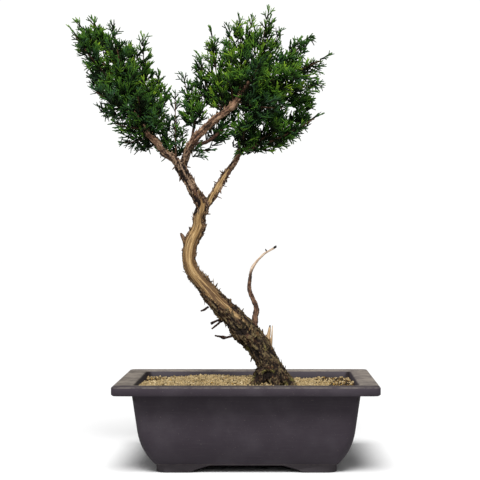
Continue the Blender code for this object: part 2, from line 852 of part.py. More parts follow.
def main():
    clear_scene()
    parts = new_collection("bonsai_tree_in_pot")
    cutters = new_collection("cutters")
    build_pot(parts, cutters)
    build_screens(parts)
    taken = build_wood(parts, cutters)
    build_soil(parts, cutters, taken[0])
    build_grit(parts, cutters, taken[0])
    build_sprays(parts, taken)
    stand_on_origin(parts, cutters)


main()
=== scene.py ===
"""A juniper bonsai in a moulded training pot: bark and stripped wood, scale-leaved foliage, grit and pot.

The frame's solids give every place and size. The wood is regrown from them with bark, stripped strips and
flakes, the leafy sprays are filled with shoots, and the grit is covered with grains.
"""

from __future__ import annotations

import json
import logging
import math
import random
from dataclasses import dataclass, field
from enum import Enum
from typing import Iterable, Sequence

import bpy
import numpy as np
from mathutils import Euler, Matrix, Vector, noise
from mathutils.bvhtree import BVHTree
from mathutils.kdtree import KDTree

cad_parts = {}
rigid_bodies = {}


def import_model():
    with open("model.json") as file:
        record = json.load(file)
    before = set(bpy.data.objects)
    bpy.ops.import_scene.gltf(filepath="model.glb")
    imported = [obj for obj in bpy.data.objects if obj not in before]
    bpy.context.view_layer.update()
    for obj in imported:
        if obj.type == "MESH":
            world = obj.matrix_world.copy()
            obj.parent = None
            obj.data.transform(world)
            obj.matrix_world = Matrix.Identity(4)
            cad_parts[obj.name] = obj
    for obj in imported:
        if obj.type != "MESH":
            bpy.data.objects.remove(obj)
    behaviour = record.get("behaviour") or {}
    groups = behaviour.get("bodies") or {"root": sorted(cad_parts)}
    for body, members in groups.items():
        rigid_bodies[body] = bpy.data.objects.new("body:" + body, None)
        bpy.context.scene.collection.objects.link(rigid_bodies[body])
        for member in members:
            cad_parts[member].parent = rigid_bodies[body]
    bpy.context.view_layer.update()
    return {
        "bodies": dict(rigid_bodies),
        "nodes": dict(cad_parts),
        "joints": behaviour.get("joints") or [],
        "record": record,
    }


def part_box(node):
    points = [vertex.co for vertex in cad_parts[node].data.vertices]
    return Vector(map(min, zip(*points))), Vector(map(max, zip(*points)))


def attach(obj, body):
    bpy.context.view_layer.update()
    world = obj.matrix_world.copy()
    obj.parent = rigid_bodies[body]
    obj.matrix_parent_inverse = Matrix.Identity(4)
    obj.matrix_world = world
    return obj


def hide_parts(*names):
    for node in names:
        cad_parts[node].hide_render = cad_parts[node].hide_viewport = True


LOG = logging.getLogger("bonsai")
MM = 0.001
BODY = "root"
UP = Vector((0, 0, 1))
FRONT = Vector((0, -1, 0))
PALETTE_MAP = "OFBake"
SAME_PLACE = 0.01 * MM

Colour = tuple[float, float, float]


# Shader building


class Wire:
    """One socket of a material's nodes, with the arithmetic that the finishes use."""

    def __init__(self, recipe: Recipe, socket: bpy.types.NodeSocket) -> None:
        """Hold the socket and the recipe it belongs to."""
        self.recipe = recipe
        self.socket = socket

    def _maths(self, operation: str, first: Value, second: Value) -> Wire:
        """Add a Math node for two values."""
        return self.recipe.node("ShaderNodeMath", {"operation": operation}, {0: first, 1: second})

    def __add__(self, other: Value) -> Wire:
        """This value plus another."""
        return self._maths("ADD", self, other)

    def __radd__(self, other: Value) -> Wire:
        """Another value plus this one."""
        return self._maths("ADD", other, self)

    def __sub__(self, other: Value) -> Wire:
        """This value less another."""
        return self._maths("SUBTRACT", self, other)

    def __rsub__(self, other: Value) -> Wire:
        """Another value less this one."""
        return self._maths("SUBTRACT", other, self)

    def __mul__(self, other: Value) -> Wire:
        """This value times another."""
        return self._maths("MULTIPLY", self, other)

    def __abs__(self) -> Wire:
        """This value without its sign."""
        return self._maths("ABSOLUTE", self, 0)

    def larger(self, other: Value) -> Wire:
        """The larger of this value and another."""
        return self._maths("MAXIMUM", self, other)

    def step(self, low: float, high: float) -> Wire:
        """Rise smoothly from 0 to 1 between two values.

        Args:
            low: The value at and below which the result is 0.
            high: The value at and above which the result is 1.

        Returns:
            The smooth step's socket.
        """
        settings = {"interpolation_type": "SMOOTHSTEP", "clamp": True}
        inputs = {"Value": self, "From Min": low, "From Max": high}
        return self.recipe.node("ShaderNodeMapRange", settings, inputs)


Value = float | Wire
Paint = Colour | Wire


class Recipe:
    """A material that is built node by node round one Principled shader."""

    def __init__(self, name: str, roughness: float = 0.7, specular: float = 0.3) -> None:
        """Start the material.

        Args:
            name: The material's name.
            roughness: The roughness where nothing drives it.
            specular: The shader's specular level, the same all over.
        """
        self.material = bpy.data.materials.new(name)
        self.material.use_nodes = True
        self.tree = self.material.node_tree
        self.shader = next(n for n in self.tree.nodes if n.type == "BSDF_PRINCIPLED")
        self.shader.inputs["Roughness"].default_value = roughness
        self.shader.inputs["Specular IOR Level"].default_value = specular

    def node(
        self,
        kind: str,
        settings: dict | None = None,
        inputs: dict | None = None,
        output: int | str = 0,
    ) -> Wire:
        """Add one node.

        Args:
            kind: The node's type.
            settings: Its settings by name, with a ramp's stops as pairs under "stops".
            inputs: Values, colours or wires by socket name or number.
            output: The socket to return, by name or number.

        Returns:
            The wire of that output.
        """
        made = self.tree.nodes.new(kind)
        for key, value in (settings or {}).items():
            if key == "stops":
                self._set_stops(made.color_ramp, value)
            else:
                setattr(made, key, value)
        for key, value in (inputs or {}).items():
            socket = made.inputs[key]
            if isinstance(value, Wire):
                self.tree.links.new(value.socket, socket)
            elif isinstance(value, (tuple, list, Vector)) and socket.type == "RGBA":
                socket.default_value = (*value, 1)
            else:
                socket.default_value = value
        return Wire(self, made.outputs[output])

    @staticmethod
    def _set_stops(ramp: bpy.types.ColorRamp, stops: Sequence[tuple[float, Colour]]) -> None:
        """Give a ramp its stops."""
        while len(ramp.elements) < len(stops):
            ramp.elements.new(1)
        for element, (place, colour) in zip(ramp.elements, stops):
            element.position = place
            element.color = (*colour, 1)

    def mix(self, first: Paint, second: Paint, share: Value) -> Wire:
        """Blend two colours.

        Args:
            first: The colour where the share is 0.
            second: The colour where the share is 1.
            share: How much of the second there is.

        Returns:
            The blended colour.
        """
        settings = {"data_type": "RGBA", "clamp_factor": True}
        return self.node("ShaderNodeMix", settings, {0: share, 6: first, 7: second}, output=2)

    def shade(self, colour: Paint, by: Value) -> Wire:
        """Multiply a colour by a value."""
        return self.node("ShaderNodeVectorMath", {"operation": "SCALE"}, {0: colour, "Scale": by})

    def ramp(self, share: Value, *stops: tuple[float, Colour]) -> Wire:
        """A colour read from stops along a value."""
        return self.node("ShaderNodeValToRGB", {"stops": stops}, {0: share})

    def place(self) -> Wire:
        """The place on the object, in metres."""
        return self.node("ShaderNodeTexCoord", output="Object")

    def axis(self, vector: Wire, name: str) -> Wire:
        """One axis of a vector, by its letter."""
        return self.node("ShaderNodeSeparateXYZ", inputs={0: vector}, output=name)

    def palette(self) -> tuple[Wire, Wire, Wire]:
        """The place on the palette map, and that place's X and Y."""
        place = self.node("ShaderNodeUVMap", {"uv_map": PALETTE_MAP})
        return place, self.axis(place, "X"), self.axis(place, "Y")

    def grown(self, name: str, part: str = "Fac") -> Wire:
        """The number, or the vector, that the piece's mesh holds under a name."""
        return self.node("ShaderNodeAttribute", {"attribute_name": name}, output=part)

    def stretched(self, vector: Wire, scale: Sequence[float]) -> Wire:
        """A vector with each axis multiplied by its own number."""
        return self.node("ShaderNodeMapping", inputs={"Vector": vector, "Scale": tuple(scale)})

    def noise(
        self,
        vector: Wire,
        scale: float,
        detail: float = 3,
        rough: float = 0.55,
        bend: float = 0,
    ) -> Wire:
        """Cloudy noise round 0.5.

        Args:
            vector: The coordinates it follows.
            scale: How many clouds there are to a unit.
            detail: How many finer layers it has.
            rough: How strong the finer layers are.
            bend: How much it is distorted.

        Returns:
            The noise's value.
        """
        inputs = {"Vector": vector, "Scale": scale, "Detail": detail, "Roughness": rough}
        return self.node("ShaderNodeTexNoise", inputs={**inputs, "Distortion": bend})

    def cells(self, vector: Wire, scale: float, output: str = "Distance") -> Wire:
        """A pattern of cells: the distance from each cell's middle, or each cell's own random colour."""
        inputs = {"Vector": vector, "Scale": scale}
        return self.node("ShaderNodeTexVoronoi", {"feature": "F1"}, inputs, output)

    def cell_tone(self, vector: Wire, scale: float) -> Wire:
        """A random tone from 0 to 1 for each cell of the pattern."""
        colours = self.cells(vector, scale, output="Color")
        return self.node("ShaderNodeSeparateColor", inputs={0: colours})

    def bump(self, height: Wire, depth: float, strength: float = 1) -> None:
        """Put a relief on the surface.

        Args:
            height: The relief's height from 0 to 1.
            depth: What a height of 1 is in metres.
            strength: How strongly it shows.
        """
        inputs = {"Strength": strength, "Distance": depth, "Height": height}
        self.feed("Normal", self.node("ShaderNodeBump", inputs=inputs))

    def feed(self, socket: str, value: Wire) -> None:
        """Link a wire to one of the shader's sockets."""
        self.tree.links.new(value.socket, self.shader.inputs[socket])


# Finishes


@dataclass(frozen=True)
class PotPlastic:
    """Matt dark plastic, dusty on top of the rim, scuffed on its sides, with its lengths in metres. The inner
    wall below the rim is stained with soil and darkened with painted shade, and the foot is lightened with
    painted light.
    """

    half_size: tuple[float, float]
    flange: float
    plain: Colour = (0.037, 0.0295, 0.0375)
    faded: Colour = (0.051, 0.0425, 0.0515)
    stain_and_shade: Colour = (0.016, 0.012, 0.013)
    dust: Colour = (0.270, 0.235, 0.200)
    scuff_and_painted_light: Colour = (0.075, 0.066, 0.070)
    worn: Colour = (0.25, 0.225, 0.19)
    rim_low: float = 0.0815
    rim_high: float = 0.0829
    foot_top: float = 0.0072
    line_width: float = 0.0011
    stain_and_shade_inside: tuple[float, float] = (0.0003, 0.0013)
    stain_and_shade_above: tuple[float, float] = (0.066, 0.070)
    foot_blur: float = 0.001
    swept_front: tuple[float, float] = (0.004, 0.008)

    def make(self) -> bpy.types.Material:
        """Build the material."""
        r = Recipe("pot_plastic_moulded", roughness=0.55, specular=0.1)
        place = r.place()
        x, y, height = (r.axis(place, letter) for letter in "XYZ")
        clouds = r.noise(place, 28, detail=4)
        colour = r.mix(self.plain, self.faded, clouds.step(0.4, 0.75))
        scratches = r.noise(r.stretched(place, (1, 1, 4.5)), 130, detail=6, rough=0.72, bend=0.8)
        scuffs = scratches.step(0.58, 0.8)
        patches = r.noise(place, 42, detail=2).step(0.47, 0.66)
        colour = r.mix(colour, self.scuff_and_painted_light, scuffs * patches * 0.7)
        lines = r.noise(r.stretched(place, (0.06, 0.06, 1)), 700, detail=2).step(0.5, 0.8)
        colour = r.mix(colour, self.scuff_and_painted_light, lines * 0.16)
        specks = r.noise(place, 900, detail=2).step(0.68, 0.78)
        colour = r.mix(colour, self.dust, specks * 0.3)
        half_length, half_width = self.half_size
        past_edge = (abs(x) - half_length).larger(abs(y) - half_width)
        # The inner wall below the rim: stained with soil, and darkened with painted shade where the rim keeps
        # light off it.
        within, well_within = (-self.flange - gap for gap in self.stain_and_shade_inside)
        inside = past_edge.step(within, well_within) * height.step(*self.stain_and_shade_above)
        colour = r.mix(colour, self.stain_and_shade, inside * 0.9)
        # Painted light: the foot below its top edge is lightened with the pale scuffed colour.
        painted_foot_light = height.step(self.foot_top + self.foot_blur, self.foot_top - self.foot_blur)
        colour = r.mix(colour, self.scuff_and_painted_light, painted_foot_light * 0.5)
        top = height.step(self.rim_low, self.rim_high)
        smudge = r.noise(place, 60, detail=5, rough=0.65).step(0.32, 0.72)
        behind, before = self.swept_front
        swept = y.step(self.flange - half_width + behind, -half_width + before)
        colour = r.mix(colour, self.dust, top * (smudge * 0.6 + 0.35) * (1 - swept * 0.86))
        rim = past_edge.step(-2 * self.line_width, 0) + self.line(past_edge, -self.flange)
        broken = r.noise(place, 160, detail=4, rough=0.7).step(0.36, 0.62)
        wear = height.step(self.rim_low, self.rim_low + self.line_width) * rim
        wear = wear + self.line(height, self.foot_top) * 0.5
        colour = r.mix(colour, self.worn, wear * broken * 0.36)
        r.feed("Base Color", colour)
        r.feed("Roughness", 0.46 + clouds * 0.2 + top * 0.2)
        grain = r.noise(place, 1500, detail=2) * 0.6 + scuffs * 0.4
        r.bump(grain, 0.00012, 0.5)
        return r.material

    def line(self, value: Wire, middle: float) -> Wire:
        """A thin line where a value is near its middle."""
        return abs(value - middle).step(self.line_width, 0)


@dataclass(frozen=True)
class ScreenPlastic:
    """Black plastic mesh, dusty with soil."""

    plain: Colour = (0.016, 0.016, 0.017)
    soil: Colour = (0.09, 0.06, 0.035)

    def make(self) -> bpy.types.Material:
        """Build the material."""
        r = Recipe("screen_plastic_mesh", roughness=0.55)
        place = r.place()
        dirt = r.noise(place, 240, detail=4).step(0.48, 0.7)
        r.feed("Base Color", r.mix(self.plain, self.soil, dirt * 0.7))
        r.feed("Roughness", 0.5 + dirt * 0.35)
        r.bump(r.noise(place, 1800), 0.0001, 0.5)
        return r.material


@dataclass(frozen=True)
class PottingMix:
    """Dark moist soil with fibres and paler bits."""

    dark: Colour = (0.022, 0.014, 0.009)
    brown: Colour = (0.085, 0.052, 0.03)
    bits: Colour = (0.3, 0.23, 0.13)

    def make(self) -> bpy.types.Material:
        """Build the material."""
        r = Recipe("potting_mix_moist", roughness=0.9, specular=0.2)
        place = r.place()
        crumbs = r.cells(place, 420)
        colour = r.mix(self.dark, self.brown, r.noise(place, 300, detail=5).step(0.35, 0.7))
        bits = r.cell_tone(place, 300)
        colour = r.mix(colour, self.bits, bits.step(0.88, 0.92) * crumbs.step(0.5, 0.2))
        r.feed("Base Color", colour)
        r.feed("Roughness", 0.8 + crumbs * 0.15)
        r.bump(1 - crumbs, 0.0012)
        return r.material


@dataclass(frozen=True)
class GritBed:
    """The bed under the loose grains: packed grit in its own tones, each stone darkened towards its edge as
    painted shade between the stones.
    """

    dark: Colour = (0.055, 0.036, 0.018)
    pale: Colour = (0.30, 0.22, 0.11)
    stones: float = 380

    def make(self) -> bpy.types.Material:
        """Build the material."""
        r = Recipe("grit_packed", roughness=0.9, specular=0.2)
        place = r.place()
        stones = r.cells(place, self.stones)
        tone = r.cell_tone(place, self.stones)
        # Painted shade: each stone is pale at its middle and dark towards its edge.
        colour = r.mix(self.dark, self.pale, (1 - stones * 1.2) * (tone * 0.6 + 0.5))
        r.feed("Base Color", colour)
        r.feed("Roughness", 0.8 + stones * 0.15)
        r.bump(1 - stones, 0.0015)
        return r.material


@dataclass(frozen=True)
class GritGrain:
    """Loose grains and bits of litter, each shaded by its place on the palette map."""

    rotten_litter_and_shade: Colour = (0.010, 0.007, 0.005)
    organic: Colour = (0.085, 0.048, 0.018)
    straw: Colour = (0.34, 0.205, 0.045)
    tan: Colour = (0.285, 0.200, 0.088)
    buff: Colour = (0.375, 0.280, 0.138)
    pale: Colour = (0.52, 0.415, 0.245)

    def make(self) -> bpy.types.Material:
        """Build the material."""
        r = Recipe("grit_grains_dry", roughness=0.85, specular=0.25)
        palette, along, across = r.palette()
        # The near-black end is rotting litter, and also painted shade standing for the gaps between grains.
        litter = ((0, self.rotten_litter_and_shade), (0.07, self.organic), (0.14, self.straw))
        stops = (*litter, (0.26, self.tan), (0.75, self.buff), (1, self.pale))
        colour = r.ramp(along, *stops)
        blotch = r.noise(palette, 40, detail=3)
        r.feed("Base Color", r.shade(colour, (across * 0.6 + 0.55) * (blotch * 0.5 + 0.75)))
        r.feed("Roughness", 0.75 + blotch * 0.2)
        return r.material


@dataclass(frozen=True)
class Bark:
    """Flaky bark with furrows, moss near the foot, and strips where it has been peeled to the wood.

    It is greyer olive and darker where age has worn it, and smooth and reddish where the limb is young, where
    it is also lightened with painted light because the foliage shades it. Its furrows and hollows are
    darkened with painted shade.
    """

    furrow: Colour = (0.009, 0.005, 0.0035)
    brown: Colour = (0.100, 0.058, 0.034)
    flake: Colour = (0.37, 0.25, 0.16)
    red: Colour = (0.16, 0.072, 0.042)
    moss: Colour = (0.17, 0.155, 0.035)
    olive: Colour = (0.235, 0.180, 0.085)
    wood: Colour = (0.285, 0.170, 0.066)
    wood_pale: Colour = (0.50, 0.345, 0.165)
    wood_dark: Colour = (0.085, 0.042, 0.016)
    young: Colour = (0.27, 0.145, 0.088)
    name: str = "bark_flaky"

    def make(self) -> bpy.types.Material:
        """Build the material."""
        r = Recipe(self.name, roughness=0.85, specular=0.2)
        grain = r.grown("grain", "Vector")
        peeled = r.grown("peeled")
        depth = r.grown("relief")
        mossy = r.grown("mossy")
        plates = r.noise(grain, 0.42, detail=5, rough=0.62)
        fine = r.noise(grain, 2.1, detail=4, rough=0.7)
        age = r.grown("weathered")
        # Painted shade: low places in the bark's relief go towards the near-black furrow colour.
        colour = r.mix(self.furrow, self.brown, depth.step(0.24, 0.6))
        colour = r.mix(colour, self.red, r.noise(grain, 0.16, detail=2).step(0.5, 0.68) * 0.6)
        worn = r.mix(self.flake, self.olive, age)
        raised = depth * 0.5 + plates * 0.9 - age * 0.05 + 0.03
        colour = r.mix(colour, worn, raised.step(0.68, 0.94) * 0.9)
        blots = r.noise(r.stretched(grain, (1, 1, 2)), 0.28, detail=4, rough=0.6)
        colour = r.mix(colour, self.olive, age * blots.step(0.5, 0.6) * depth.step(0.25, 0.6) * 0.85)
        colour = r.mix(colour, self.furrow, age * blots.step(0.5, 0.4) * 0.85)
        smooth = (age * -0.75).larger(0)
        threads = r.noise(r.stretched(grain, (1, 1, 0.2)), 0.9, detail=4).step(0.36, 0.56)
        colour = r.mix(colour, self.young, smooth * threads)
        cracks = fine.step(0.56, 0.40)
        colour = r.mix(colour, self.furrow, cracks * (0.85 - smooth * 0.5 - age.larger(0) * 0.3))
        # Darker where the bark is old; below 0, up the branches, lighter as painted light.
        colour = r.shade(colour, 1 - age * 0.34)
        # More painted shade in the lowest places of the relief and in the hollows.
        colour = r.mix(colour, self.furrow, depth.step(0.18, 0.03) * 0.75)
        colour = r.mix(colour, self.moss, mossy * fine.step(0.42, 0.6))
        streaks = r.noise(r.stretched(grain, (1, 1, 0.22)), 0.75, detail=6, rough=0.68)
        wood = r.mix(self.wood, self.wood_pale, streaks.step(0.46, 0.62))
        wood = r.mix(wood, self.wood_dark, streaks.step(0.47, 0.36) * 0.85)
        hairs = r.noise(r.stretched(grain, (1, 1, 0.12)), 2.2, detail=4, rough=0.62)
        wood = r.mix(wood, self.wood_dark, hairs.step(0.44, 0.34) * 0.7)
        shafts = r.noise(r.stretched(grain, (1, 1, 0.08)), 0.33, detail=3, rough=0.6)
        wood = r.mix(wood, self.wood_dark, (shafts - age * 0.045).step(0.50, 0.42) * 0.9)
        wood = r.shade(wood, 1 - age * 0.22)
        wood = r.mix(wood, self.wood_dark, peeled.step(0.99, 0.66) * 0.85)
        bare = peeled.step(0.42, 0.6)
        r.feed("Base Color", r.mix(colour, wood, bare))
        r.feed("Roughness", 0.9 - bare * 0.22)
        r.bump(fine * 0.6 + hairs * 0.4, 0.0006, 0.8)
        return r.material


@dataclass(frozen=True)
class BareWood:
    """Weathered dead wood: brown and barky at its foot, bleached further out."""

    pale: Colour = (0.42, 0.295, 0.205)
    cream: Colour = (0.62, 0.50, 0.385)
    line: Colour = (0.17, 0.092, 0.052)
    bark: Colour = (0.062, 0.031, 0.019)
    furrow: Colour = (0.008, 0.0045, 0.003)
    flake: Colour = (0.185, 0.102, 0.060)
    name: str = "bare_wood_bleached"

    def make(self) -> bpy.types.Material:
        """Build the material."""
        r = Recipe(self.name, roughness=0.75, specular=0.25)
        grain = r.grown("grain", "Vector")
        peeled = r.grown("peeled")
        tip = r.grown("dark_tip")
        streaks = r.noise(r.stretched(grain, (1, 1, 0.25)), 1.5, detail=4, rough=0.6)
        wood = r.mix(self.pale, self.cream, streaks.step(0.44, 0.58))
        wood = r.mix(wood, self.line, streaks.step(0.45, 0.34) * 0.8)
        rough = r.noise(grain, 0.55, detail=5, rough=0.65)
        bark = r.mix(self.furrow, self.bark, rough.step(0.38, 0.5))
        bark = r.mix(bark, self.flake, rough.step(0.5, 0.62))
        colour = r.mix(bark, wood, (peeled + (rough - 0.5) * 0.6).step(0.25, 0.75))
        r.feed("Base Color", r.mix(colour, self.furrow, tip))
        r.feed("Roughness", 0.62 + rough * 0.3)
        r.bump(streaks * 0.5 + rough * 0.5, 0.0004, 0.7)
        return r.material


@dataclass(frozen=True)
class Foliage:
    """Scale leaves, whose palette map gives the shade by its X and the age by its Y."""

    twig: Colour = (0.045, 0.023, 0.010)
    old: Colour = (0.004, 0.008, 0.002)
    blue: Colour = (0.031, 0.080, 0.034)
    dark: Colour = (0.009, 0.030, 0.006)
    green: Colour = (0.045, 0.124, 0.015)
    fresh: Colour = (0.120, 0.232, 0.017)
    bright: Colour = (0.280, 0.400, 0.024)

    def make(self) -> bpy.types.Material:
        """Build the material."""
        r = Recipe("foliage_scale_leaves", roughness=0.5, specular=0.09)
        palette, shade, age = r.palette()
        middle = r.ramp(shade, (0, self.blue), (0.22, self.dark), (0.6, self.green), (1, self.fresh))
        tips = r.ramp(shade, (0, self.green), (0.3, self.green), (0.65, self.fresh), (1, self.bright))
        # The near-black old colour is also the painted shade of the fronds sunk inside the sprays.
        colour = r.mix(self.twig, self.old, age.step(0.0, 0.09))
        colour = r.mix(colour, middle, age.step(0.36, 0.68))
        colour = r.mix(colour, tips, age.step(0.62, 0.98))
        mottle = r.noise(palette, 60, detail=2)
        r.feed("Base Color", r.shade(colour, mottle * 0.7 + 0.65))
        r.feed("Roughness", 0.42 + mottle * 0.25)
        return r.material


@dataclass(frozen=True)
class Studio:
    """The plain white floor."""

    white: Colour = (0.86, 0.86, 0.86)
    thrown_back: Colour = (0.58, 0.58, 0.58)

    def make(self) -> bpy.types.Material:
        """Build the material, which throws less light back at the tree than it shows."""
        r = Recipe("studio_floor", roughness=0.9, specular=0.1)
        seen = r.node("ShaderNodeLightPath", output="Is Camera Ray")
        r.feed("Base Color", r.mix(self.thrown_back, self.white, seen))
        return r.material


# Mesh work


def alone(piece: bpy.types.Object) -> None:
    """Select one object and make it active."""
    bpy.ops.object.select_all(action="DESELECT")
    piece.select_set(True)
    bpy.context.view_layer.objects.active = piece


def modify(piece: bpy.types.Object, kind: str, **settings: object) -> None:
    """Add a modifier to a piece and apply it.

    Args:
        piece: The piece to change.
        kind: The modifier's type.
        settings: Its settings by name.
    """
    alone(piece)
    modifier = piece.modifiers.new(kind.lower(), kind)
    for key, value in settings.items():
        setattr(modifier, key, value)
    bpy.ops.object.modifier_apply(modifier=modifier.name)


def new_object(name: str, data: bpy.types.ID) -> bpy.types.Object:
    """Put a new object with the given data into the scene."""
    made = bpy.data.objects.new(name, data)
    bpy.context.scene.collection.objects.link(made)
    return made


def weld(turn_outwards: bool = False) -> None:
    """Merge the active piece's loose corners, and turn its faces outwards if that is asked."""
    bpy.ops.object.mode_set(mode="EDIT")
    bpy.ops.mesh.select_all(action="SELECT")
    bpy.ops.mesh.remove_doubles(threshold=SAME_PLACE)
    if turn_outwards:
        bpy.ops.mesh.normals_make_consistent(inside=False)
    bpy.ops.object.mode_set(mode="OBJECT")


def merged_copy(frame: dict, nodes: Sequence[str], name: str) -> bpy.types.Object:
    """Copy frame nodes into one new piece with its loose corners merged.

    Args:
        frame: What the frame's load returned.
        nodes: The nodes to copy.
        name: The new piece's name.

    Returns:
        The new piece, which holds no material yet.
    """
    copies = [new_object(name, frame["nodes"][node].data.copy()) for node in nodes]
    bpy.ops.object.select_all(action="DESELECT")
    for made in copies:
        made.select_set(True)
    bpy.context.view_layer.objects.active = copies[0]
    if len(copies) > 1:
        bpy.ops.object.join()
    piece = bpy.context.view_layer.objects.active
    piece.name = name
    for key in list(piece.keys()):
        del piece[key]
    weld()
    piece.data.materials.clear()
    return piece


def vectors(items: bpy.types.bpy_prop_collection, name: str) -> np.ndarray:
    """One vector from each item of a mesh's collection."""
    found = np.empty(len(items) * 3)
    items.foreach_get(name, found)
    return found.reshape(-1, 3)


def corners(mesh: bpy.types.Mesh) -> np.ndarray:
    """A mesh's vertices as an array of places."""
    return vectors(mesh.vertices, "co")


def outward(mesh: bpy.types.Mesh) -> np.ndarray:
    """A mesh's vertex normals as an array."""
    return vectors(mesh.vertex_normals, "vector")


def set_corners(mesh: bpy.types.Mesh, places: np.ndarray) -> None:
    """Move a mesh's vertices."""
    mesh.vertices.foreach_set("co", places.ravel())
    mesh.update()


def describe(mesh: bpy.types.Mesh, **told: np.ndarray | float) -> None:
    """Give each vertex numbers or vectors that its finish reads.

    Args:
        mesh: The mesh to write to.
        told: By name, one number or vector for each vertex, or one number for them all.
    """
    for name, values in told.items():
        column = np.full(len(mesh.vertices), values) if np.isscalar(values) else values
        vector = column.ndim == 2
        attribute = mesh.attributes.new(name, "FLOAT_VECTOR" if vector else "FLOAT", "POINT")
        attribute.data.foreach_set("vector" if vector else "value", column.astype(np.float32).ravel())


def noise_at(places: np.ndarray, size: float, shift: float = 0) -> np.ndarray:
    """Smooth noise from about -1 to 1 at each place.

    Args:
        places: The places, one a row.
        size: The size of the noise's features, in the places' unit.
        shift: Moves the pattern, so that each use has its own.

    Returns:
        One value for each place.
    """
    scaled = places / size + shift
    return np.array([noise.noise(Vector(place)) for place in scaled])


def cell_edges(places: np.ndarray, size: float) -> np.ndarray:
    """How far each place is from the border between the two nearest cells, as a share of a cell."""
    found = []
    for place in places / size:
        distances, _ = noise.voronoi(Vector(place))
        found.append(distances[1] - distances[0])
    return np.array(found)


def smooth_step(values: np.ndarray, low: float, high: float) -> np.ndarray:
    """Rise smoothly from 0 to 1 as the values go from low to high."""
    share = np.clip((values - low) / (high - low), 0, 1)
    return share * share * (3 - 2 * share)


def stray(rng: random.Random, spread: float) -> Vector:
    """A random vector whose three parts have the same spread."""
    return Vector([rng.gauss(0, spread) for _ in range(3)])


def tree_of_places(places: Sequence[Vector]) -> KDTree:
    """A search tree over places, for the nearest one."""
    tree = KDTree(len(places))
    for index, place in enumerate(places):
        tree.insert(place, index)
    tree.balance()
    return tree


def tree_of(piece: bpy.types.Object) -> BVHTree:
    """A search tree over a piece's faces."""
    places = [Vector(place) for place in corners(piece.data)]
    return BVHTree.FromPolygons(places, [tuple(face.vertices) for face in piece.data.polygons])


def join_to(piece: bpy.types.Object, other: bpy.types.Object) -> None:
    """Join another piece to a piece, which keeps its name."""
    alone(piece)
    other.select_set(True)
    bpy.ops.object.join()


def at_home(piece: bpy.types.Object, material: bpy.types.Material, slot: str, *replaced: str) -> None:
    """Dress a finished piece, attach it to the body and hide the frame nodes that it stands for.

    Args:
        piece: The finished piece.
        material: Its material.
        slot: The record's material slot that it belongs to; not used.
        replaced: The frame nodes that it stands for.
    """
    piece.data.materials.clear()
    piece.data.materials.append(material)
    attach(piece, BODY)
    if replaced:
        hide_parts(*replaced)
    LOG.info("%s: %d faces", piece.name, len(piece.data.polygons))


# Copies of one small shape


@dataclass
class Stock:
    """A small modelled shape that is copied many times: its corners, faces and palette places."""

    places: np.ndarray
    loops: np.ndarray
    starts: np.ndarray
    palette: np.ndarray

    @staticmethod
    def of(piece: bpy.types.Object) -> Stock:
        """Read the shape from a piece, then remove the piece.

        Args:
            piece: The modelled shape, whose place along Z gives its palette place.

        Returns:
            The shape as arrays.
        """
        mesh = piece.data
        loops = np.empty(len(mesh.loops), np.int32)
        mesh.loops.foreach_get("vertex_index", loops)
        starts = np.empty(len(mesh.polygons), np.int32)
        mesh.polygons.foreach_get("loop_start", starts)
        places = corners(mesh)
        palette = np.stack([np.arctan2(places[:, 1], places[:, 0]) / math.tau % 1, places[:, 2]], 1)[loops]
        ends = np.append(starts[1:], len(loops))
        half_round, quarter_round = 0.5, 0.25
        for start, end in zip(starts, ends):
            # A face that crosses the seam goes on past 1 and not back to 0.
            turned = palette[start:end, 0]
            if np.ptp(turned) > half_round:
                turned[turned < quarter_round] += 1
        bpy.data.objects.remove(piece)
        return Stock(places, loops, starts, palette)

    def fill(self, name: str, places: np.ndarray, palettes: np.ndarray | None = None) -> bpy.types.Object:
        """Make one piece of many copies.

        Args:
            name: The new piece's name.
            places: Copies by corners by three.
            palettes: Copies by face corners by two, the palette places, if the piece has a palette.

        Returns:
            The new piece.
        """
        count, size = places.shape[:2]
        loops = (self.loops[None] + np.arange(count)[:, None] * size).ravel()
        starts = (self.starts[None] + np.arange(count)[:, None] * len(self.loops)).ravel()
        mesh = bpy.data.meshes.new(name)
        mesh.vertices.add(count * size)
        mesh.vertices.foreach_set("co", places.astype(np.float32).ravel())
        mesh.loops.add(len(loops))
        mesh.loops.foreach_set("vertex_index", loops.astype(np.int32))
        mesh.polygons.add(len(starts))
        mesh.polygons.foreach_set("loop_start", starts.astype(np.int32))
        if palettes is not None:
            layer = mesh.uv_layers.new(name=PALETTE_MAP)
            layer.uv.foreach_set("vector", palettes.astype(np.float32).ravel())
        mesh.update(calc_edges=True)
        mesh.validate()
        return new_object(name, mesh)


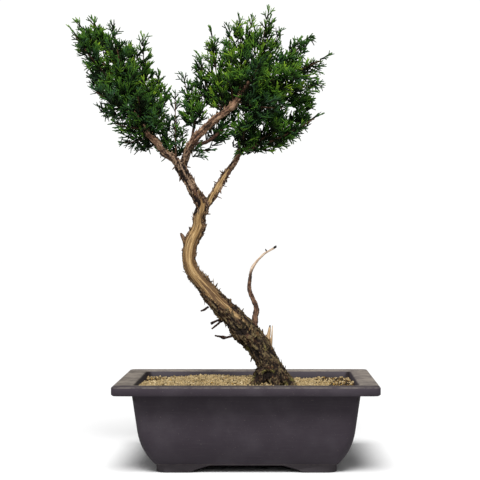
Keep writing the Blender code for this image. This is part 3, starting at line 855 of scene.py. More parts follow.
@dataclass
class Slips:
    """Where the copies of a long small shape go, and how each is bent and widened."""

    starts: list[Vector] = field(default_factory=list)
    headings: list[Vector] = field(default_factory=list)
    sides: list[Vector] = field(default_factory=list)
    sizes: list[tuple[float, float, float]] = field(default_factory=list)
    bends: list[Vector] = field(default_factory=list)

    def add(
        self,
        start: Vector,
        heading: Vector,
        side: Vector,
        size: tuple[float, float, float],
        bend: Vector,
    ) -> None:
        """Add one copy.

        Args:
            start: Where its foot is.
            heading: The direction that it grows in.
            side: The direction of its width.
            size: Its length, half its width and half its thickness, in metres.
            bend: How far its tip is moved aside, as a share of its length.
        """
        self.starts.append(start)
        self.headings.append(heading)
        self.sides.append(side)
        self.sizes.append(size)
        self.bends.append(bend)

    def places(self, unit: np.ndarray) -> np.ndarray:
        """Lay the copies out.

        Args:
            unit: The shape's corners, a unit long up Z and about a unit in radius.

        Returns:
            Copies by corners by three.
        """
        starts, headings, sides = (np.array(each) for each in (self.starts, self.headings, self.sides))
        sides = sides - headings * (sides * headings).sum(1)[:, None]
        sides /= np.linalg.norm(sides, axis=1)[:, None]
        lifts = np.cross(headings, sides)
        lengths, widths, depths = (column[:, None, None] for column in np.array(self.sizes).T)
        share = unit[None, :, 2:3]
        bends = np.array(self.bends)[:, None]
        found = starts[:, None] + (headings[:, None] * share + bends * share**2) * lengths
        found = found + sides[:, None] * unit[None, :, 0:1] * widths
        return found + lifts[:, None] * unit[None, :, 1:2] * depths


# Wood


@dataclass(frozen=True)
class Stub:
    """One stub, thorn or flap of bark on a limb.

    Its height is in millimetres, its turn in degrees to the right of the front, and its size is the length,
    width and thickness in millimetres. Up is how far it points along the limb, from -1 to 1.
    """

    limb: str
    height: float
    turn: float
    size: tuple[float, float, float]
    up: float = 0.3
    bare: float = 0.0


STUBS = (
    Stub("trunk", 216, -84, (7.5, 5.2, 4.6), 0.8),
    Stub("trunk", 213, -70, (6, 4.0, 3.6), 0.9, 0.6),
    Stub("trunk", 156, -84, (9, 4.5, 4.0), 0.92, 0.8),
    Stub("trunk", 151, -74, (9, 4.2, 4.4), 0.94, 0.5),
    Stub("trunk", 146, -86, (8, 3.8, 4.0), 0.93),
    Stub("trunk", 171, 78, (5, 2.2, 1.6), 0.3),
    Stub("trunk", 173, 84, (6.5, 0.8, 0.7), 0.5, 0.9),
    Stub("trunk", 147, 76, (4, 2.0, 1.6), 0.4),
    Stub("trunk", 137, 72, (3.5, 2.6, 2.2), 0.3),
    Stub("trunk", 124, 70, (7, 2.8, 1.6), 0.9, 0.4),
    Stub("trunk", 98, -25, (4, 2.4, 1.6), 0.3),
    Stub("trunk", 104, -80, (4.5, 2.2, 1.6), -0.4),
    Stub("trunk", 242, 84, (4.5, 1.6, 1.6), 0.1),
    Stub("side_branch", 277, 70, (4.5, 1.5, 1.3), 0.6),
    Stub("side_branch", 269, 84, (4.0, 1.2, 1.0), 0.2),
    Stub("side_branch", 259, 84, (6.0, 1.1, 1.0), 0.0),
    Stub("side_branch", 281, -75, (4.0, 1.8, 1.4), 0.5),
    Stub("side_branch", 272, -80, (3.2, 1.8, 1.4), -0.2),
    Stub("left_branch", 262, -60, (4.0, 1.8, 1.4), 0.2),
    Stub("right_branch", 268, 80, (3.5, 1.6, 1.4), 0.4),
)


@dataclass(frozen=True)
class ShadedHollow:
    """A hollow sunk into the bark's front and darkened with painted shade: its middle's X and Z, half sizes
    and depth in millimetres.
    """

    middle: tuple[float, float]
    half: tuple[float, float]
    depth: float

    def mask(self, places: np.ndarray, normals: np.ndarray) -> np.ndarray:
        """Say how deep in the hollow each place is, from 0 to 1."""
        ragged = 0.35 * noise_at(places, 3.0, 41)
        away = np.hypot(*((places[:, (0, 2)] - self.middle) / self.half).T)
        return smooth_step(1.25 - away + ragged, 0, 0.7) * smooth_step(-normals[:, 1], -0.1, 0.4)


SHADED_HOLLOWS = (
    ShadedHollow((20.5, 129.0), (6.5, 3.6), 0.9),
    ShadedHollow((44.0, 88.5), (5.5, 4.2), 1.6),
    ShadedHollow((33.5, 87.0), (2.6, 3.2), 0.8),
    ShadedHollow((33.0, 108.5), (2.2, 5.0), 0.7),
)


@dataclass(frozen=True)
class Sliver:
    """A sliver or nub on dead wood: millimetres to the right of the wood's highest point, and up from it."""

    node: str
    foot: tuple[float, float]
    tip: tuple[float, float]
    width: float
    dark: float = 0.0


SLIVERS = (
    Sliver("snag", (1.4, -26), (2.7, -0.5), 1.9),
    Sliver("snag", (-3.8, -24), (-2.9, -10), 2.0, 0.5),
    Sliver("snag", (0.4, -26), (1.0, -12), 1.6, 0.2),
    Sliver("dead_branch", (-8.8, -5.4), (-10.2, -2.8), 1.7, 1.0),
    Sliver("dead_branch", (-1.6, -1.6), (0.6, 0.4), 2.4, 1.0),
)


@dataclass
class Route:
    """The middle line of a limb: places in millimetres, radii, lengths from the foot, and side directions."""

    places: np.ndarray
    radii: np.ndarray
    lengths: np.ndarray
    fronts: np.ndarray
    rights: np.ndarray

    @staticmethod
    def through(points: np.ndarray, spacing: float = 2.5) -> Route:
        """Find a limb's middle line from its skin, slice by slice up its height.

        Args:
            points: The limb's skin, in millimetres.
            spacing: The height of a slice.

        Returns:
            The limb's route.
        """
        low, high = points[:, 2].min(), points[:, 2].max()
        count = max(3, int((high - low) / spacing))
        found = []
        for level in np.linspace(low, high, count):
            near = points[np.abs(points[:, 2] - level) < spacing]
            if len(near) > 3:
                found.append(near.mean(0))
        places = np.array(found)
        smoothings = 2
        for _ in range(smoothings):
            places[1:-1] = (places[:-2] + 2 * places[1:-1] + places[2:]) / 4
        runs = np.linalg.norm(np.diff(places, axis=0), axis=1)
        tangents = np.gradient(places, axis=0)
        tangents /= np.linalg.norm(tangents, axis=1)[:, None]
        ahead = np.array(FRONT)
        front = ahead[None] - tangents * (tangents @ ahead)[:, None]
        front /= np.linalg.norm(front, axis=1)[:, None]
        right = np.cross(tangents, front)
        radii = np.empty(len(places))
        owner = ((points[:, None] - places[None]) ** 2).sum(2).argmin(1)
        gaps = points - places[owner]
        along = (gaps * tangents[owner]).sum(1)[:, None]
        across = np.linalg.norm(gaps - tangents[owner] * along, axis=1)
        for index in range(len(places)):
            mine = across[owner == index]
            radii[index] = np.median(mine) if len(mine) else np.nan
        known = ~np.isnan(radii)
        radii = np.interp(np.arange(len(radii)), np.flatnonzero(known), radii[known])
        return Route(places, radii, np.append(0, np.cumsum(runs)), front, right)

    def read(self, points: np.ndarray) -> tuple[np.ndarray, np.ndarray, np.ndarray]:
        """Say where points lie along and round the limb.

        Args:
            points: Places in millimetres.

        Returns:
            Each point's length from the limb's foot, its offsets to the right and to the front, and how far
            outside the limb's radius it lies.
        """
        owner = ((points[:, None] - self.places[None]) ** 2).sum(2).argmin(1)
        gaps = points - self.places[owner]
        right = (gaps * self.rights[owner]).sum(1)
        front = (gaps * self.fronts[owner]).sum(1)
        ahead = np.cross(self.fronts[owner], self.rights[owner])
        along = self.lengths[owner] + (gaps * ahead).sum(1)
        outside = np.linalg.norm(gaps, axis=1) - self.radii[owner]
        return along, np.stack([right, front], 1), outside


@dataclass(frozen=True)
class Strip:
    """A peeled strip down a limb's front.

    Each knot holds a height in millimetres, and the strip's middle and half width there in degrees round the
    limb, to the right of its front.
    """

    knots: tuple[tuple[float, float, float], ...]
    ragged: float = 9.0
    closed: float = -30.0
    blur: tuple[float, float] = (-7.0, 9.0)

    def mask(self, heights: np.ndarray, offsets: np.ndarray, wobble: np.ndarray) -> np.ndarray:
        """Say how far inside the strip each point is.

        Args:
            heights: The points' heights in millimetres.
            offsets: Their offsets to the right and the front of the limb's middle line.
            wobble: Noise that makes the edge ragged.

        Returns:
            Numbers from 0, on the bark, to 1, well inside the strip.
        """
        levels, middles, widths = (np.array(column) for column in zip(*sorted(self.knots)))
        middle = np.interp(heights, levels, middles)
        width = np.interp(heights, levels, widths, left=self.closed, right=self.closed)
        angle = np.degrees(np.arctan2(offsets[:, 0], offsets[:, 1]))
        off = np.abs((angle - middle + 180) % 360 - 180)
        return smooth_step(width + wobble * self.ragged - off, *self.blur)


@dataclass
class Wood:
    """The tree's wood: the trunk and branches as one body, the dead wood, and the thin twigs.

    The mesh spacings and above_grit are in metres. The bark's sizes and its heights are in millimetres.
    """

    frame: dict
    voxel: float = 0.00069
    fine_voxel: float = 0.00038
    bark_height: float = 1.5
    bark_share: float = 0.2
    plate_size: float = 4.2
    ridge_size: float = 3.2
    crack_size: float = 1.5
    crumb_size: float = 1.7
    bark_gain: float = 1.7
    lip_height: float = 0.35
    lumpy_radius: float = 12
    sunk: float = 0.9
    moss_heights: tuple[float, float] = (95, 150)
    aged_heights: tuple[float, float] = (135, 216)
    young_and_lit_heights: tuple[float, float] = (290, 320)
    dark_twigs: tuple[float, float] = (190, 210)
    flakes: int = 1150
    edge_every: int = 4
    thorn_every: int = 90
    above_grit: float = 0.080
    grain_stretch: float = 0.24
    trunk_strip: Strip = Strip(
        (
            (262, 20, 2),
            (254, 16, 22),
            (245, 4, 34),
            (236, -14, 50),
            (226, -10, 60),
            (212, -8, 62),
            (196, -6, 66),
            (180, -4, 66),
            (170, 2, 58),
            (160, 8, 42),
            (150, 17, 19),
            (141, 25, 10),
            (134, 31, 8),
            (128, 36, 5),
            (122, 38, -6),
        )
    )
    branch_strip: Strip = Strip(
        ((250, 0, 30), (260, 4, 46), (270, 2, 44), (279, -6, 34), (287, -8, 8), (290, 0, -20))
    )
    routes: dict[str, Route] = field(default_factory=dict)
    scale: Stock | None = None

    def build(self) -> None:
        """Make every wooden piece."""
        self.scale = self.splinter()
        living = ("trunk", "left_branch", "right_branch", "side_branch")
        for node in living:
            self.routes[node] = Route.through(self.dense(node))
        body = merged_copy(self.frame, living, "trunk_and_branches")
        self.fuse(body, self.voxel, 7)
        self.grow_bark(body, living)
        self.add_flakes(body, living)
        at_home(body, Bark().make(), "bark", *living)
        self.build_dead()
        self.build_twigs()

    def dense(self, node: str) -> np.ndarray:
        """A node's skin as evenly spread places in millimetres."""
        probe = merged_copy(self.frame, (node,), "probe")
        modify(probe, "REMESH", mode="VOXEL", voxel_size=MM)
        places = corners(probe.data) / MM
        bpy.data.objects.remove(probe)
        return places

    @staticmethod
    def fuse(piece: bpy.types.Object, size: float, rounds: int, swell: float = 0.0003) -> None:
        """Grow the piece's bodies into one evenly meshed skin and smooth its facets.

        Args:
            piece: The piece to change.
            size: The mesh's spacing in metres.
            rounds: How often the skin is smoothed.
            swell: How far the bodies are swollen first, so that they meet.
        """
        modify(piece, "DISPLACE", strength=swell, mid_level=0)
        modify(piece, "REMESH", mode="VOXEL", voxel_size=size)
        modify(piece, "SMOOTH", factor=0.5, iterations=rounds)
        piece.data.shade_smooth()

    def read_grain(
        self, points: np.ndarray, limbs: Iterable[str]
    ) -> tuple[np.ndarray, np.ndarray, np.ndarray]:
        """Find each point's own limb and its place on it.

        Args:
            points: Places in millimetres.
            limbs: The limbs to choose from.

        Returns:
            The grain coordinates, the offsets from the limb's middle and the number of the limb.
        """
        grain = np.zeros((len(points), 3))
        offsets = np.zeros((len(points), 2))
        nearest = np.full(len(points), np.inf)
        owner = np.zeros(len(points), int)
        limb_shift = 40
        for number, limb in enumerate(limbs):
            along, across, outside = self.routes[limb].read(points)
            mine = outside < nearest
            nearest[mine] = outside[mine]
            offsets[mine] = across[mine]
            owner[mine] = number
            grain[mine, :2] = across[mine]
            grain[mine, 2] = along[mine] * self.grain_stretch + number * limb_shift
        return grain, offsets, owner

    def grow_bark(self, piece: bpy.types.Object, limbs: Sequence[str]) -> None:
        """Raise bark on the skin and sink the peeled strips into it.

        Args:
            piece: The wood's skin.
            limbs: The limbs that it covers.
        """
        mesh = piece.data
        places, normals = corners(mesh) / MM, outward(mesh)
        grain, offsets, owner = self.read_grain(places, limbs)
        radius = np.linalg.norm(offsets, axis=1)
        wobble = noise_at(grain, 1.6) + 0.6 * noise_at(grain, 0.7, 9)
        peeled = np.where(owner == 0, self.trunk_strip.mask(places[:, 2], offsets, wobble), 0)
        side = owner == list(limbs).index("side_branch")
        peeled = np.where(side, self.branch_strip.mask(places[:, 2], offsets, wobble), peeled)
        height = self.bark_pattern(places, grain, wobble)
        relief = smooth_step(height, -0.1, 0.9)
        depth = np.minimum(self.bark_height, self.bark_share * radius)
        lumps = noise_at(places, 11, 2) * 0.9 + noise_at(places, 5, 4) * 0.45
        lip = peeled * (1 - peeled) * 4
        bare = -self.sunk + 0.14 * noise_at(grain * (1, 1, 0.45), 1.0, 11) + 0.25 * noise_at(grain, 3.2, 13)
        rise = (height - 0.5) * self.bark_gain * depth * (1 - peeled) + lip * self.lip_height * depth
        rise += bare * peeled * np.minimum(1, depth) + lumps * np.minimum(1, radius / self.lumpy_radius)
        hollow = np.max([each.mask(places, normals) * each.depth for each in SHADED_HOLLOWS], axis=0) * (owner == 0)
        rise -= hollow
        # Painted shade: the relief falls to nothing in the hollows, so the finish paints them near black.
        relief *= 1 - np.minimum(1, hollow * 1.2)
        set_corners(mesh, (places + normals * rise[:, None]) * MM)
        full, none = self.moss_heights
        damp = smooth_step(-places[:, 2], -none, -full)
        mossy = damp * smooth_step(noise_at(places, 8, 21) + 0.25 * noise_at(places, 2.5, 22), 0.18, 0.55)
        mossy *= 1 - np.minimum(1, hollow)
        on_side = smooth_step(noise_at(places, 6, 31), 0.3, 0.6) * side * 0.7
        mossy = np.maximum(mossy, on_side)
        aged = self.weathered(places, owner)
        describe(mesh, grain=grain, peeled=peeled, relief=relief, mossy=mossy, weathered=aged)

    def bark_pattern(self, places: np.ndarray, grain: np.ndarray, wobble: np.ndarray) -> np.ndarray:
        """How high the bark stands at each place: plates with ridges, cracks and crumbs on them.

        Args:
            places: The places in millimetres.
            grain: Their grain coordinates.
            wobble: Noise that makes the plates and ridges wander.

        Returns:
            The heights, mostly from 0 to 1.
        """
        twisted = grain + 0.5 * np.stack([wobble, -wobble, 0.4 * wobble], 1)
        plates = np.clip(cell_edges(twisted, self.plate_size) * 1.6, 0, 1)
        ridges = 1 - np.abs(noise_at(twisted, self.ridge_size, 3)) * 2.4
        cracks = 1 - np.abs(noise_at(grain, self.crack_size, 7)) * 2.6
        crumbs = noise_at(places, self.crumb_size, 5)
        return 0.36 * plates + 0.3 * ridges + 0.22 * cracks + 0.36 * crumbs

    def weathered(self, places: np.ndarray, owner: np.ndarray) -> np.ndarray:
        """How far age has worn each place, and how much painted light the upper branches take.

        Args:
            places: The places in millimetres.
            owner: The number of each place's limb, with the trunk as 0.

        Returns:
            Numbers that rise to 1 down the trunk, and fall below 0 up the branches, where the bark is young
            and is lightened with painted light.
        """
        heights = places[:, 2]
        on_trunk = 1 - smooth_step(heights, *self.aged_heights)
        # Painted light: these numbers below 0 make the finish lighten the upper branches.
        lit_young_branches = -0.8 * smooth_step(heights, *self.young_and_lit_heights)
        return np.where(owner == 0, on_trunk, lit_young_branches)

    def add_flakes(self, piece: bpy.types.Object, limbs: Sequence[str]) -> None:
        """Peeling flakes, stubs and thorns stand from the bark, more of them beside the peeled strips.

        Args:
            piece: The wood's skin, which the flakes are joined to.
            limbs: The limbs that it covers.
        """
        rng = random.Random(5)
        mesh = piece.data
        peeled, relief = np.empty((2, len(mesh.vertices)), np.float32)
        mesh.attributes["peeled"].data.foreach_get("value", peeled)
        mesh.attributes["relief"].data.foreach_get("value", relief)
        places, normals = corners(mesh), outward(mesh)
        grain, offsets, owner = self.read_grain(places / MM, limbs)
        barely_bare, partly_bare, half_bare, raised = 0.08, 0.25, 0.5, 0.2
        above = places[:, 2] > self.above_grit
        bark = np.flatnonzero((peeled < partly_bare) & (relief > raised) & above)
        edge = np.flatnonzero((peeled > barely_bare) & (peeled < half_bare))
        slips, chosen, looks = Slips(), [], []
        for number in range(self.flakes):
            at = int(rng.choice(edge if number % self.edge_every == 0 else bark))
            is_thorn = number % self.thorn_every == 5
            lean = rng.uniform(0.8, 1.4) if is_thorn else rng.uniform(0.02, 0.3)
            size = self.thorn_size(rng) if is_thorn else self.flake_size(rng)
            up = -1 if rng.random() < 0.35 else 1
            self.stand(slips, Vector(places[at]), Vector(normals[at]), lean, up, size, rng)
            chosen.append(at)
            looks.append((0.75 if rng.random() < 0.15 else 0.0, rng.uniform(0.25, 0.95)))
        turns = np.degrees(np.arctan2(offsets[:, 0], offsets[:, 1]))
        degrees_per_mm = 12
        for stub in STUBS:
            off = np.abs((turns - stub.turn + 180) % 360 - 180) / degrees_per_mm
            off = off + np.abs(places[:, 2] / MM - stub.height)
            at = int(np.where(owner == list(limbs).index(stub.limb), off, np.inf).argmin())
            size = tuple(number * MM * share for number, share in zip(stub.size, (1, 0.5, 0.5)))
            lean = 1.6 * (1 - abs(stub.up)) + 0.1
            up = math.copysign(1, stub.up)
            self.stand(slips, Vector(places[at]), Vector(normals[at]), lean, up, size, rng)
            chosen.append(at)
            looks.append((stub.bare, 0.6))
        scales = self.scale.fill("bark_scales", slips.places(self.scale.places))
        own = corners(scales.data).reshape(len(chosen), -1, 3)
        spread = (own - own.mean(1)[:, None]) / MM * (1, 1, 0.3)
        bare, relief = np.repeat(np.array(looks), own.shape[1], axis=0).T
        aged = np.repeat(self.weathered(places[chosen] / MM, owner[chosen]), own.shape[1])
        own_grain = (grain[chosen][:, None] + spread).reshape(-1, 3)
        describe(scales.data, grain=own_grain, peeled=bare, relief=relief, mossy=0, weathered=aged)
        join_to(piece, scales)

    def add_slivers(self, piece: bpy.types.Object, node: str) -> None:
        """Join a dead limb's slivers and nubs to it.

        Args:
            piece: The dead limb's skin.
            node: The frame node that it was grown from.
        """
        places = [vertex.co for vertex in self.frame["nodes"][node].data.vertices]
        top = max(places, key=lambda place: place.z)
        slips, dark = Slips(), []
        for sliver in SLIVERS:
            if sliver.node != node:
                continue
            foot = top + Vector((sliver.foot[0], 0, sliver.foot[1])) * MM
            run = top + Vector((sliver.tip[0], 0, sliver.tip[1])) * MM - foot
            size = (run.length, sliver.width * MM / 2, sliver.width * MM / 2)
            slips.add(foot, run.normalized(), FRONT, size, Vector())
            dark.append(sliver.dark)
        made = self.scale.fill("slivers", slips.places(self.scale.places))
        grain = corners(made.data) / MM * (1, 1, 0.3)
        dark_tip = np.repeat(dark, len(self.scale.places))
        describe(made.data, grain=grain, peeled=1, dark_tip=dark_tip)
        join_to(piece, made)

    @staticmethod
    def thorn_size(rng: random.Random) -> tuple[float, float, float]:
        """The length, half width and half thickness of a thorn."""
        width = rng.uniform(0.0003, 0.0006)
        return rng.uniform(0.002, 0.0038), width, width

    @staticmethod
    def flake_size(rng: random.Random) -> tuple[float, float, float]:
        """The length, half width and half thickness of a flake of bark."""
        width = rng.uniform(0.0005, 0.0013)
        return rng.uniform(0.0018, 0.0046), width, width * rng.uniform(0.3, 0.5)

    @staticmethod
    def stand(
        slips: Slips,
        place: Vector,
        normal: Vector,
        lean: float,
        up: float,
        size: tuple[float, float, float],
        rng: random.Random,
    ) -> None:
        """Stand one flake on the bark.

        Args:
            slips: Takes the flake.
            place: Where it stands.
            normal: The bark's outward direction.
            lean: How far it leans out from the bark.
            up: 1 if it points up the limb and -1 if it points down.
            size: Its length, half width and half thickness.
            rng: The source of chance.
        """
        rooted = 0.0005
        along = (UP - normal * normal.z).normalized() * up
        heading = (along * max(0.0, 1 - 0.5 * lean) + normal * lean + stray(rng, 0.15)).normalized()
        bend = normal * rng.uniform(-0.15, 0.3)
        slips.add(place - normal * rooted, heading, heading.cross(normal), size, bend)

    @staticmethod
    def splinter() -> Stock:
        """Model one splinter of bark, a unit long, broad at its foot and ragged at its free end.

        Returns:
            The splinter's stock.
        """
        bpy.ops.object.select_all(action="DESELECT")
        bpy.ops.mesh.primitive_circle_add(vertices=5, radius=1, fill_type="NGON")
        piece = bpy.context.active_object
        bpy.ops.object.mode_set(mode="EDIT")
        for rise, size in ((0.35, 0.96), (0.37, 0.8), (0.28, 0.45)):
            bpy.ops.mesh.extrude_region_move(TRANSFORM_OT_translate={"value": (0.04, 0, rise)})
            bpy.ops.transform.resize(value=(size, size, 1))
        bpy.ops.object.mode_set(mode="OBJECT")
        return Stock.of(piece)

    def build_dead(self) -> None:
        """The dead branch and the splinters beside it: barky at the foot, then bleached."""
        tan = BareWood(pale=(0.33, 0.205, 0.105), cream=(0.52, 0.38, 0.22), name="bare_wood_tan")
        tip_fade = 2.2
        for node, name, bare_from, tip, finish in (
            ("dead_branch", "dead_branch_bleached", (166, 204), 2.0, BareWood()),
            ("snag", "splinters_pale", (111, 130), 0.9, tan),
        ):
            self.routes[node] = Route.through(self.dense(node), 1.6)
            piece = merged_copy(self.frame, (node,), name)
            self.fuse(piece, self.fine_voxel, 4, 0.0001)
            places, normals = corners(piece.data) / MM, outward(piece.data)
            grain, _, _ = self.read_grain(places, (node,))
            bare = smooth_step(places[:, 2] + 6 * noise_at(grain, 2.0), *bare_from)
            rough = 0.7 * noise_at(grain, 1.3) + 0.45 * noise_at(places, 1.3, 4)
            fine = 0.12 * noise_at(grain * (1, 1, 0.5), 0.8, 5)
            rise = rough * (1 - bare) + fine * bare + 0.3 * noise_at(places, 6, 8)
            set_corners(piece.data, (places + normals * rise[:, None]) * MM)
            top = places[places[:, 2].argmax()]
            dark_tip = 1 - smooth_step(np.linalg.norm(places - top, axis=1), tip, tip + tip_fade)
            describe(piece.data, grain=grain, peeled=bare, dark_tip=dark_tip)
            self.add_slivers(piece, node)
            at_home(piece, finish.make(), "bare_wood", node)

    def build_twigs(self) -> None:
        """The thin living and dead twigs."""
        nodes = self.frame["nodes"]
        twigs = [name for name in nodes if name.endswith("_twig") or name.startswith("dead_twig")]
        piece = merged_copy(self.frame, twigs, "thin_twigs")
        self.fuse(piece, self.fine_voxel, 3, 0.00015)
        places, normals = corners(piece.data) / MM, outward(piece.data)
        rise = 0.25 * noise_at(places, 1.3) + 0.2 * noise_at(places, 3.1, 4)
        set_corners(piece.data, (places + normals * rise[:, None]) * MM)
        relief = 0.45 + 0.3 * noise_at(places, 1.6, 6)
        aged = 1 - smooth_step(places[:, 2], *self.dark_twigs)
        grain = places * (1, 1, 0.4)
        describe(piece.data, grain=grain, peeled=0, relief=relief, mossy=0, weathered=aged)
        finish = Bark(
            brown=(0.066, 0.031, 0.019),
            flake=(0.15, 0.083, 0.05),
            olive=(0.055, 0.024, 0.019),
            name="bark_of_thin_twigs",
        )
        at_home(piece, finish.make(), "twig_bark", *twigs)


# Foliage


class Vigour(Enum):
    """How a frond has grown, and one kind for the near-black fronds of painted shade inside a spray: the
    value is the middle of its shades on the palette.
    """

    BURIED = 0.21
    SHADED = 0.17
    STEADY = 0.37
    FRESH = 0.58


@dataclass(frozen=True)
class Tuft:
    """More fronds beside a spray, where it meets the next one.

    Attributes:
        node: The spray that it belongs to.
        middle: Its middle in millimetres.
        half: Its half sizes in millimetres.
        heading: The direction its fronds grow in.
        fronds: How many there are.
        vigour: How fresh they are.
    """

    node: str
    middle: tuple[float, float, float]
    half: tuple[float, float, float]
    heading: tuple[float, float, float]
    fronds: int
    vigour: Vigour


TUFTS = (
    Tuft("left_spray_16", (-131.5, -5, 412), (5, 5, 6), (-0.35, 0, 1), 10, Vigour.STEADY),
    Tuft("left_spray_02", (-118.5, 6, 412), (7, 8, 6), (-0.1, 0, 1), 14, Vigour.STEADY),
    Tuft("left_spray_04", (-96, 16, 401), (9, 10, 4), (0.1, -0.2, 1), 12, Vigour.STEADY),
    Tuft("side_spray_01", (41, -4, 335), (13, 8, 6), (0.7, -0.2, 0.2), 24, Vigour.SHADED),
    Tuft("right_spray_08", (73, 2, 351), (9, 7, 4), (0.9, -0.1, 0.2), 12, Vigour.STEADY),
)


@dataclass
class Shoots:
    """The shoots of one piece of foliage, a row for each."""

    rows: list[tuple[float, ...]] = field(default_factory=list)

    def add(
        self,
        start: Vector,
        heading: Vector,
        length: float,
        radius: float,
        bend: Vector,
        shade: float,
        ages: tuple[float, float],
        roll: float,
    ) -> None:
        """Add one shoot.

        Args:
            start: Where it leaves its parent.
            heading: Its direction there.
            length: Its length in metres.
            radius: Its radius at the foot.
            bend: How far its tip is bent aside, as a share of its length.
            shade: Its place across the palette.
            ages: The palette's ages at its foot and tip.
            roll: Its turn about itself.
        """
        self.rows.append((*start, *heading, length, radius, *bend, shade, *ages, roll))


